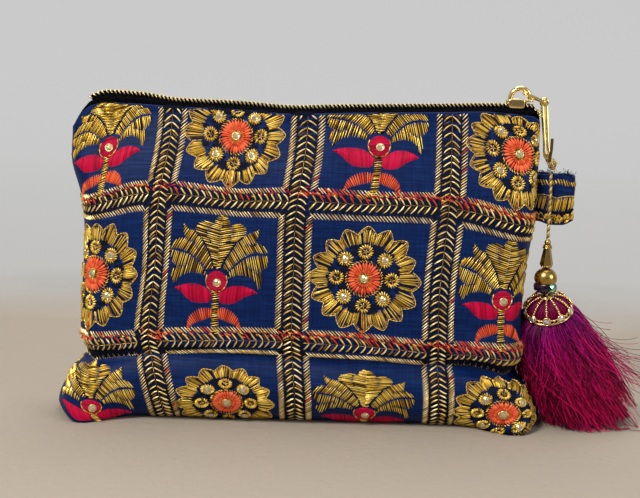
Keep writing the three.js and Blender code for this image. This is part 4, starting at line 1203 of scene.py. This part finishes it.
# Where the cloth is drawn away from the even pattern: x and y there, then how far along and down the cloth.
SHIFTS = np.array(
    [
        (-96, 0, 9, -3.5), (-59, 0, 0.8, -4), (0, 0, -1.5, -1.5), (59, 0, 2.5, -1.5), (97, 0, 0.5, 6.5),
        (-94, -60, 5, 3.5), (-59, -60, -3, -1), (0, -60, -1.5, -2.5), (59, -60, 0.5, 1),
        (95, -60, -2, -0.5), (-59, -96, 6.5, -4), (0, -96, 0, -5), (59, -96, 2, -4),
        (-59, 36, 6.5, 1), (0, 36, 2, 1), (59, 36, 2.5, 2.5),
        (-91, 26, 17.0, 7.8), (-31, 29, 6.6, 5.2), (27, 26, 8.0, 2.4), (87, 29, 3.2, 9.0),
        (-90, -31, 9, 2.2), (-32, -34, 0.2, -2.6), (28, -31, 0, -1.7), (86, -34, -2.3, 2.9),
        (-91, -94, 9.5, -8.6), (-31, -91, 5.6, -7.2), (27, -94, 4.2, -6.1), (87, -91, 0, -7.2),
    ]
)


def on_cloth(side, x, y):
    """From the pattern to the cloth of a panel."""
    away = (x[..., None] - SHIFTS[:, 0]) ** 2 + (y[..., None] - SHIFTS[:, 1]) ** 2
    weight = np.exp(-away / (2 * SHIFT_REACH**2)) + 1e-12
    weight /= weight.sum(-1, keepdims=True)
    s, d = x + weight @ SHIFTS[:, 2], BAND_DROP - y + weight @ SHIFTS[:, 3]
    return (s if side < 0 else -s), d


def sew(pile, cloth, s, d, width, height, tone):
    """Adds raised stitches. s and d have the shape (stitches, 4), from end to end of each."""
    points, normals, inside = cloth.at(s, d)
    keep = inside.all(1)
    points, normals, width, height, tone = (v[keep] for v in (points, normals, width, height, tone))
    along = unit(np.gradient(points, axis=1))
    beside = np.cross(normals, along)
    turn = np.linspace(math.pi, 0, 4)
    taper = np.array((0.55, 1, 1, 0.55))[None, :, None, None]
    lift = np.array((0.15, 1, 1, 0.15))[None, :, None, None]
    wide = beside[:, :, None] * np.cos(turn)[:, None] * taper * (width / 2)[:, None, None, None]
    tall = normals[:, :, None] * (np.sin(turn)[:, None] * lift * height[:, None, None, None] - 0.06)
    grid = points[:, :, None] + wide + tall
    grid[..., 2] = np.maximum(grid[..., 2], 0.05)
    pile.grids(grid, tone=np.clip(tone, 0, 1))


def trimmed(cloth, side, rows):
    """Four places along each stitch, from where it comes onto the cloth to where it leaves it."""

    def places(rows, t):
        x, y = rows[:, :1], rows[:, 1:2]
        along_x, along_y = rows[:, 2:3] - x, rows[:, 3:4] - y
        bow = rows[:, 7:8] * 4 * t * (1 - t) if rows.shape[1] > 7 else 0
        return on_cloth(side, x + along_x * t - along_y * bow, y + along_y * t + along_x * bow)

    s, d = places(rows, np.linspace(0, 1, 13)[None])
    inside = cloth.at(s, d)[2]
    first = inside.argmax(1) / 12
    last = 1 - inside[:, ::-1].argmax(1) / 12
    length = np.linalg.norm(rows[:, 2:4] - rows[:, :2], axis=1) * (last - first)
    keep = inside.any(1) & (length > np.where(inside.all(1), 0, 0.5))
    rows, first, last = rows[keep], first[keep, None], last[keep, None]
    return rows, *places(rows, mix(first, last, np.linspace(0.01, 0.99, 4)[None]))


SEWN_WITH = {
    "navy_and_shade": (NAVY_THREAD_AND_SHADE, "silk"),
    "gold": (GOLD_THREAD, "gold_thread"),
    "arms": (PALE_THREAD, "gold_thread"),
    "crimson": (CRIMSON, "silk"),
    "orange": (ORANGE, "silk"),
}
GEM = [(1.0, 0.25), (0.86, 0.52), (0.5, 0.72), (0.02, 0.74)]
GEM_MARGIN, GEM_LIFT = 1.6, 0.25


def embroider(side, name):
    cloth = PANEL[side]
    sewn, stones = whole_pattern()
    for key, (mat, slot) in SEWN_WITH.items():
        rows, s, d = trimmed(cloth, side, sewn[key])
        pile = Pile()
        sew(pile, cloth, s, d, rows[:, 4], rows[:, 5], rows[:, 6])
        attach(pile.object(f"{name}_{key}", mat), POUCH, slot)
    s, d = on_cloth(side, stones[:, 0], stones[:, 1])
    points, normals, inside = cloth.at(s, d)
    keep = inside & cloth.at(s, d - GEM_MARGIN)[2] & cloth.at(s, d + GEM_MARGIN)[2]
    points, normals, radius = points[keep], normals[keep], stones[keep, 2]
    points = points + normals * GEM_LIFT
    first = unit(np.cross(normals, (0.2, 0.1, 1)))
    second = np.cross(normals, first)
    setting = ring_of(1.02, 0.16, 20, 6) + (0, 0, 0.35)
    made_of = ((lathe(GEM, 9), STONE, "stones", "crystal"), (setting, TOOTH_GOLD, "settings", "zip_gold"))
    for grid, mat, label, slot in made_of:
        pile = Pile()
        for size in np.unique(radius):
            at = radius == size
            pile.grids(placed(grid, points[at], first[at], second[at], normals[at], size), closed=True)
        attach(pile.object(f"{name}_{label}", mat, flat=label == "stones"), POUCH, slot)


def make_bag():
    for side, node, name in ((-1, "front_panel", "front_silk"), (1, "back_panel", "back_silk")):
        cloth = make_panel(side, name)
        attach(cloth, POUCH, "silk", node)
        embroider(side, node.replace("panel", "embroidery"))


make_bag()


# Zip


def along_zip(step):
    """Stations an even step apart along the zip: points, and the directions along and up from it."""
    x = np.linspace(ZIP_LINE[0, 0], ZIP_LINE[-1, 0], 4000)
    z = zip_height(x)
    run = np.concatenate([[0], np.cumsum(np.hypot(np.diff(x), np.diff(z)))])
    even = np.interp(np.arange(step, run[-1] - step / 2, step), run, x)
    slope = (zip_height(even + 0.3) - zip_height(even - 0.3)) / 0.6
    along = unit(np.stack([np.ones_like(even), np.zeros_like(even), slope], -1))
    up = np.stack([-along[:, 2], np.zeros_like(even), along[:, 0]], -1)
    return np.stack([even, np.zeros_like(even), zip_height(even)], -1), along, up


def row_centre(x):
    return mix(1.35, 2.35, smooth((x - 81.2 - 1.4) / 3.6))


TOOTH_PITCH, FIRST_TOOTH = 1.66, 7


def make_zip():
    for side, face in ((-1, "front"), (1, "back")):
        points, along, up = (rows[FIRST_TOOTH:] for rows in along_zip(TOOTH_PITCH))
        bend = np.radians(np.linspace(72, -12, 5))
        over = np.stack([np.cos(bend), np.zeros(5), np.sin(bend)], 1)
        points = np.concatenate([points, (92.3, 0, 129.3) + 2.3 * over - 1.25 * over])
        along = np.concatenate([along, np.stack([np.sin(bend), np.zeros(5), -np.cos(bend)], 1)])
        up = np.concatenate([up, over])
        points = points + along * (TOOTH_PITCH / 4 * side)
        centre = row_centre(points[:, 0])
        out = np.array((0.0, side, 0.0))
        points = points + out * centre[:, None] + up * 1.25
        tall = unit(up + 0.6 * side * along)
        pile = Pile()
        pile.grids(placed(ball(10, 8), points, along * 0.5, out * 1.28, tall * 1.3), closed=True)
        attach(pile.object(f"zip_teeth_{face}", TOOTH_GOLD), POUCH, "zip_gold", f"zip_coil_{face}")
        core = Pile()
        for low in (0.3, 1.2):
            core.grids(tubes((points - up * low - out * 0.2)[None], 0.95, 8), closed=True)
        attach(core.object(f"zip_core_{face}", TAPE), POUCH, "zip_tape")
        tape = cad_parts[f"zip_tape_{face}"]
        tape.data.materials.clear()
        tape.data.materials.append(TAPE)


ARCH_RISE, ARCH_BAR, PLATE = 5.0, 1.2, 1.05
PIVOT = np.array((96.4, 0, 135.3))
PULL_OUT, PULL_FRONT = 4.4, 10  # how far the pull leans, in degrees
LINK_X, LINK_RISE, LINK_HALF = 88.0, 2.4, 2.0


def make_slider():
    low, high = (np.array(corner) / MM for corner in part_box("zip_slider"))
    top = high[2] - ARCH_RISE
    base = zip_height((low[0] + high[0]) / 2)
    pile = Pile()
    pile.grids(pillow((low[0], low[1] + 0.3, top - PLATE), (high[0], high[1] - 0.3, top)), closed=True)
    pile.grids(pillow((low[0], -3.7, low[2]), (high[0], 3.7, low[2] + PLATE)), closed=True)
    pile.grids(pillow((86.9, -0.85, low[2] + 0.4), (89.4, 0.85, top - 0.4)), closed=True)
    for side in (low[1], high[1] - 1.1):
        corner = (low[0] + 6.6, side + 1.1, top + 0.05)
        pile.grids(pillow((low[0], side, base + 0.2), corner, 0.4), closed=True)
    turn = np.linspace(-0.1, math.pi + 0.1, 33)[:, None]
    around = round_turn(14)[None]
    middle, reach = (low[0] + high[0]) / 2, 4.7 - ARCH_BAR / 2
    out = 1.1 * np.cos(around)
    x = middle + (reach + out) * np.cos(turn)
    z = top + (ARCH_RISE - ARCH_BAR / 2 + out) * np.sin(turn)
    pile.grids(np.stack([x, np.broadcast_to(1.4 * np.sin(around), x.shape), z], -1)[None], closed=True)
    attach(pile.object("slider", BRIGHT_GOLD), POUCH, "zip_gold", "zip_slider")
    pile = Pile()
    inner, outer = np.array((LINK_X, 0, top + LINK_RISE)), PIVOT
    share = np.array((0, 0.06, 0.5, 0.94, 1, 1, 1, 0.94, 0.5, 0.06, 0, 0, 0))
    wide = np.array((0.7, 1, 1, 1, 0.7, 0, -0.7, -1, -1, -1, -0.7, 0, 0.7)) * LINK_HALF
    ring = mix(inner, outer, share[:, None]) + wide[:, None] * np.array((0, 1, 0))
    pile.grids(tubes(resampled(ring, 70)[None], 0.72, 10), closed=True)
    attach(pile.object("link", BRIGHT_GOLD), POUCH, "zip_gold", "pull_link")


def make_pull():
    """A knuckle and one bar bent double: side by side above, open round the slot below."""
    pile = Pile()
    knuckle = ring_of(1.42, 0.62, 32, 14)[0]
    pile.grids((PIVOT + knuckle[..., [0, 2, 1]] * (1, 1.85, 1))[None], closed=True)
    pile.grids(placed(ball(24, 16), PIVOT[None], (1.5, 0, 0), (0, 1.75, 0), (0, 0, 1.5)), closed=True)
    half = [(0.85, 1.7), (0.82, 6), (0.74, 11), (0.7, 15), (0.74, 18), (0.86, 20.4), (0.84, 22), (0.5, 23)]
    bent = [(x, 0, -down) for x, down in half] + [(0, 0, -23.3)]
    bent += [(-x, 0, -down) for x, down in reversed(half)]
    outwards = Matrix.Rotation(math.radians(-PULL_OUT), 3, "Y")
    lean = np.array(outwards @ Matrix.Rotation(math.radians(-PULL_FRONT), 3, "X"))
    thick = np.interp(np.linspace(0, 1, 90), (0, 0.3, 0.5, 0.7, 1), (0.84, 0.72, 0.62, 0.66, 0.76))
    pile.grids(tubes((resampled(bent, 90) @ lean.T + PIVOT)[None], thick, 12), closed=True)
    attach(pile.object("pull", BRIGHT_GOLD), PENDANT, "zip_gold", "zip_pull")


def make_tape_end():
    """The end of the tapes, turned down into the top of the side seam."""
    t = np.linspace(0, 1, 12)[:, None]
    v = np.linspace(-1, 1, 15)[None]
    half = mix(5.4, 0.8, smooth(t * 1.6))
    x = mix(92.2, 95.3, np.sqrt(np.sin(math.pi * np.clip(t, 0, 0.5))))
    x = x - 0.6 * v**2 * (1 - t) - 0.6 * smooth((t - 0.6) / 0.4)
    z = mix(131.9, 115.0, t) - 0.5 * v**2
    grid = np.stack(np.broadcast_arrays(x, half * v, z), -1)
    pile = Pile()
    pile.grids(grid[None])
    pile.grids((grid - (0.5, 0, 0.2))[None])
    attach(pile.object("tape_end", TAPE), POUCH, "zip_tape")


make_zip()
make_slider()
make_pull()
make_tape_end()


# Side loop

LOOP_IN, LOOP_OUT, LOOP_HALF, LOOP_THICK, LOOP_BOTTOM, LOOP_TOP = 93.4, 111.0, 6.0, 1.6, 85.0, 106.0


def teardrop(turn, half, inner, outer):
    run = 0.5 + 0.5 * np.cos(turn)
    return np.stack([mix(inner, outer, run), half * np.sin(turn) * mix(0.35, 1, np.sqrt(run))], -1)


def loop_cloth():
    """The loop's outer face: s along it from its fold, to the front below 0, and d down from its top."""
    turn = np.linspace(-math.pi, math.pi, 1201)
    line = teardrop(turn, LOOP_HALF, LOOP_IN, LOOP_OUT)
    run = run_of(line)
    run -= run[600]
    s = np.arange(run[0], run[-1], 0.25)
    x, y = np.interp(s, run, line[:, 0]), np.interp(s, run, line[:, 1])
    d = np.arange(0, LOOP_TOP - LOOP_BOTTOM + 0.1, 0.25)
    share = d[:, None] / (LOOP_TOP - LOOP_BOTTOM)
    far = smooth((x - 104) / 7)[None]
    top = LOOP_TOP - 0.8 * far + 0.35 * np.sin(s / 2.2)[None]
    bottom = LOOP_BOTTOM + 1.6 * far**2 + 1.2 * smooth((101 - x) / 5)[None]
    z = mix(top, bottom, share)
    points = np.stack([np.broadcast_to(x, z.shape), np.broadcast_to(y, z.shape), z], -1)
    puff = 0.25 * np.sin(d[:, None] / 3.1 + s[None] / 4)
    cloth = Cloth(s, d, points, np.full(len(d), s[0]), np.full(len(d), s[-1]), -1)
    if (cloth.normals[40, len(s) // 2, 0]) < 0:
        cloth.outward = 1
        cloth.set_normals()
    cloth.points = cloth.points + cloth.normals * puff[..., None]
    cloth.set_normals()
    return cloth


def make_loop():
    cloth = loop_cloth()
    outer, inner = cloth.points[::3, ::2], cloth.points[::3, ::2] - cloth.normals[::3, ::2] * LOOP_THICK
    outer[:, 0], outer[:, -1] = outer[:, 1], outer[:, -2]
    rim = np.concatenate([outer, inner[::-1], outer[:1]])
    pile = Pile()
    pile.grids(rim[None])
    uv = np.stack(np.broadcast_arrays(cloth.s[None, ::2], np.arange(len(rim))[:, None] * 0.75), -1) / 100
    silk_loop = pile.object("loop_silk", SILK, uv=uv.reshape(-1, 2))
    attach(silk_loop, POUCH, "silk", "side_loop")
    reach = cloth.s[-1] - 1.5
    gold, navy_and_shade = [], []
    for s in np.arange(-reach, reach, 1.2):
        ends = s, 2.2 + rng.normal(0, 0.15), s + 0.9, 4.5 + rng.normal(0, 0.2)
        gold.append((*ends, 0.62, 0.5, rng.normal(0.7, 0.2)))
        gold.append((s + 0.5, 3.4, s + 1.2, 4.6, 0.34, 0.4, rng.normal(0.4, 0.2)))
    place = np.arange(-reach, reach, 0.58)
    scallop = 10.0 - 1.3 * np.abs(np.sin(place / 3.4))
    gold += line_of(np.stack([place, scallop], 1), 0.36, 0.4, 0.9)
    for s, high in zip(place, scallop):
        gold.append((s, high + 0.4, s + rng.normal(-0.9, 0.3), 15.3, 0.42, 0.45, rng.normal(0.66, 0.22)))
    for s in np.arange(-reach, reach, 1.3):
        navy_and_shade.append((s, 15.8, s + 1.2, 15.8, 0.5, 0.6, 0.5))
        # The wide low rows are a near-black sheet, painted shade between the gold stitches; the row above
        # is a navy seam.
        navy_and_shade.append((s, 9.6, s, 20.9, 1.7, 0.1, 0.5))
    for s, d in zip(rng.uniform(-reach, reach, 330), rng.uniform(16.9, 20.0, 330)):
        end = polar(0.8, rng.normal(50, 35) * rng.choice((-1, 1)))
        ends = s - end[0], d - end[1], s + end[0], min(d + end[1], 20.8)
        gold.append((*ends, 0.42, rng.uniform(0.35, 0.6), rng.normal(0.62, 0.24)))
    t = np.linspace(0, 1, 4)[None]
    for rows, key, name in ((gold, "gold", "loop_gold"), (navy_and_shade, "navy_and_shade", "loop_seam_and_shade")):
        rows, (mat, slot) = np.array(rows), SEWN_WITH[key]
        s, d = mix(rows[:, :1], rows[:, 2:3], t), mix(rows[:, 1:2], rows[:, 3:4], t)
        pile = Pile()
        sew(pile, cloth, s, d, rows[:, 4], rows[:, 5], rows[:, 6])
        attach(pile.object(name, mat), POUCH, slot)
    count = 60
    points, normals, _ = cloth.at(rng.uniform(-reach, reach, count), np.full(count, 0.3))
    points = points - normals * rng.uniform(0, LOOP_THICK, (count, 1))
    lean = normals * rng.normal(0.2, 0.5, (count, 1)) + rng.normal(0, 0.45, (count, 3)) + (0, 0, 1)
    length = rng.uniform(0.8, 2.6, (count, 1))
    t = np.linspace(0, 1, 6)[None, :, None]
    curl = rng.normal(0, 0.6, (count, 1, 3))
    lines = points[:, None] + (unit(lean) * length)[:, None] * t + curl * t**2
    pile = Pile()
    pile.grids(tubes(lines, 0.09, 4), closed=True)
    frays = pile.object("loop_frays", NAVY_THREAD_AND_SHADE)
    attach(frays, POUCH, "silk")


make_loop()


# Floor and light


# The floor's own colour in front, turning dark grey behind the pouch where the painted glow takes over.
FLOOR_STOPS = [
    (0.0, (0.338, 0.289, 0.236)), (0.06, (0.215, 0.2, 0.18)),
    (0.125, (0.09, 0.088, 0.086)), (1.0, (0.09, 0.09, 0.09)),
]
# Painted light: the glow of the floor behind the pouch and of the backdrop, fainter low down as painted
# shade.
BACKDROP_GLOW_STOPS = [
    (0.0, (0, 0, 0)), (0.125, (0.40, 0.395, 0.385)),
    (0.5, (0.46, 0.46, 0.455)), (1.0, (0.52, 0.525, 0.52)),
]


def make_floor():
    """A floor that rises into a plain backdrop well behind the pouch; behind the pouch the floor and
    backdrop glow as painted light, fainter low down as painted shade.
    """
    bend = np.linspace(0, math.pi / 2, 16)
    rows = [(-5.0, 0.0), (-0.6, 0.0), *zip(1.2 + 0.6 * np.sin(bend), 0.6 - 0.6 * np.cos(bend)), (1.8, 4.0)]
    verts = [(x, y, z) for y, z in rows for x in (-5.0, 5.0)]
    faces = [(2 * k, 2 * k + 1, 2 * k + 3, 2 * k + 2) for k in range(len(rows) - 1)]
    mesh = bpy.data.meshes.new("floor")
    mesh.from_pydata(verts, [], faces)
    for polygon in mesh.polygons:
        polygon.use_smooth = True
    sockets = {"Emission_Strength": 1.0, "Specular_IOR_Level": 0.2}
    made = material("floor", (0.46, 0.4, 0.33), roughness=0.8, **sockets)
    place = add_node(made, "ShaderNodeTexCoord").outputs["Object"]
    parts = add_node(made, "ShaderNodeSeparateXYZ", [("Vector", place)])
    back = maths(made, "MULTIPLY", maths(made, "SUBTRACT", parts.outputs["Y"], 0.17), 0.75)
    grain = maths(made, "MULTIPLY", maths(made, "SUBTRACT", noise(made, 9, 4), 0.5), 0.06)
    tint = maths(made, "ADD", back, grain)
    drive(made, "Base Color", ramp(made, tint, FLOOR_STOPS))
    # The glow behind the pouch is painted light, fainter low down as painted shade.
    drive(made, "Emission Color", ramp(made, back, BACKDROP_GLOW_STOPS))
    bump(made, noise(made, 260, 3), 0.25, 0.002)
    mesh.materials.append(made)
    floor = bpy.data.objects.new("floor", mesh)
    bpy.context.scene.collection.objects.link(floor)


def make_light(name, place, aim, size, power, colour=(1, 1, 1)):
    data = bpy.data.lights.new(name, "AREA")
    data.shape, data.size, data.energy, data.color = "DISK", size, power, colour
    light = bpy.data.objects.new(name, data)
    light.location = place
    light.rotation_euler = (Vector(aim) - Vector(place)).to_track_quat("-Z", "Y").to_euler()
    bpy.context.scene.collection.objects.link(light)


make_floor()
make_light("key", (-0.5, -0.75, 0.95), (0, 0, 0.06), 0.45, 15, (1.0, 0.97, 0.92))
make_light("fill", (0.9, -0.6, 0.45), (0.03, 0, 0.06), 0.6, 3.5)
make_light("top", (0.1, 0.25, 0.95), (0, 0, 0.08), 0.7, 5)
world = bpy.data.worlds.new("studio")
world.use_nodes = True
sky = add_node(world, "ShaderNodeTexCoord").outputs["Generated"]
way = add_node(world, "ShaderNodeSeparateXYZ", [("Vector", sky)])
rise = maths(world, "ADD", maths(world, "MULTIPLY", way.outputs["Z"], 0.5), 0.5)
ahead = maths(world, "SUBTRACT", 0.5, maths(world, "MULTIPLY", way.outputs["Y"], 0.5))
by_height = ramp(world, rise, grey((0.45, 0.2), (0.52, 0.45), (0.6, 1), (1.0, 0.6)))
by_side = ramp(world, ahead, grey((0.5, 0.5), (0.68, 1), (0.86, 1), (0.95, 0.42)))
background = world.node_tree.nodes["Background"]
background.inputs["Color"].default_value = (0.96, 0.97, 1.0, 1)
strength = maths(world, "MULTIPLY", maths(world, "MULTIPLY", by_height, by_side), 0.6)
world.node_tree.links.new(strength, background.inputs["Strength"])
bpy.context.scene.world = world
bpy.context.scene.view_settings.view_transform = "Standard"
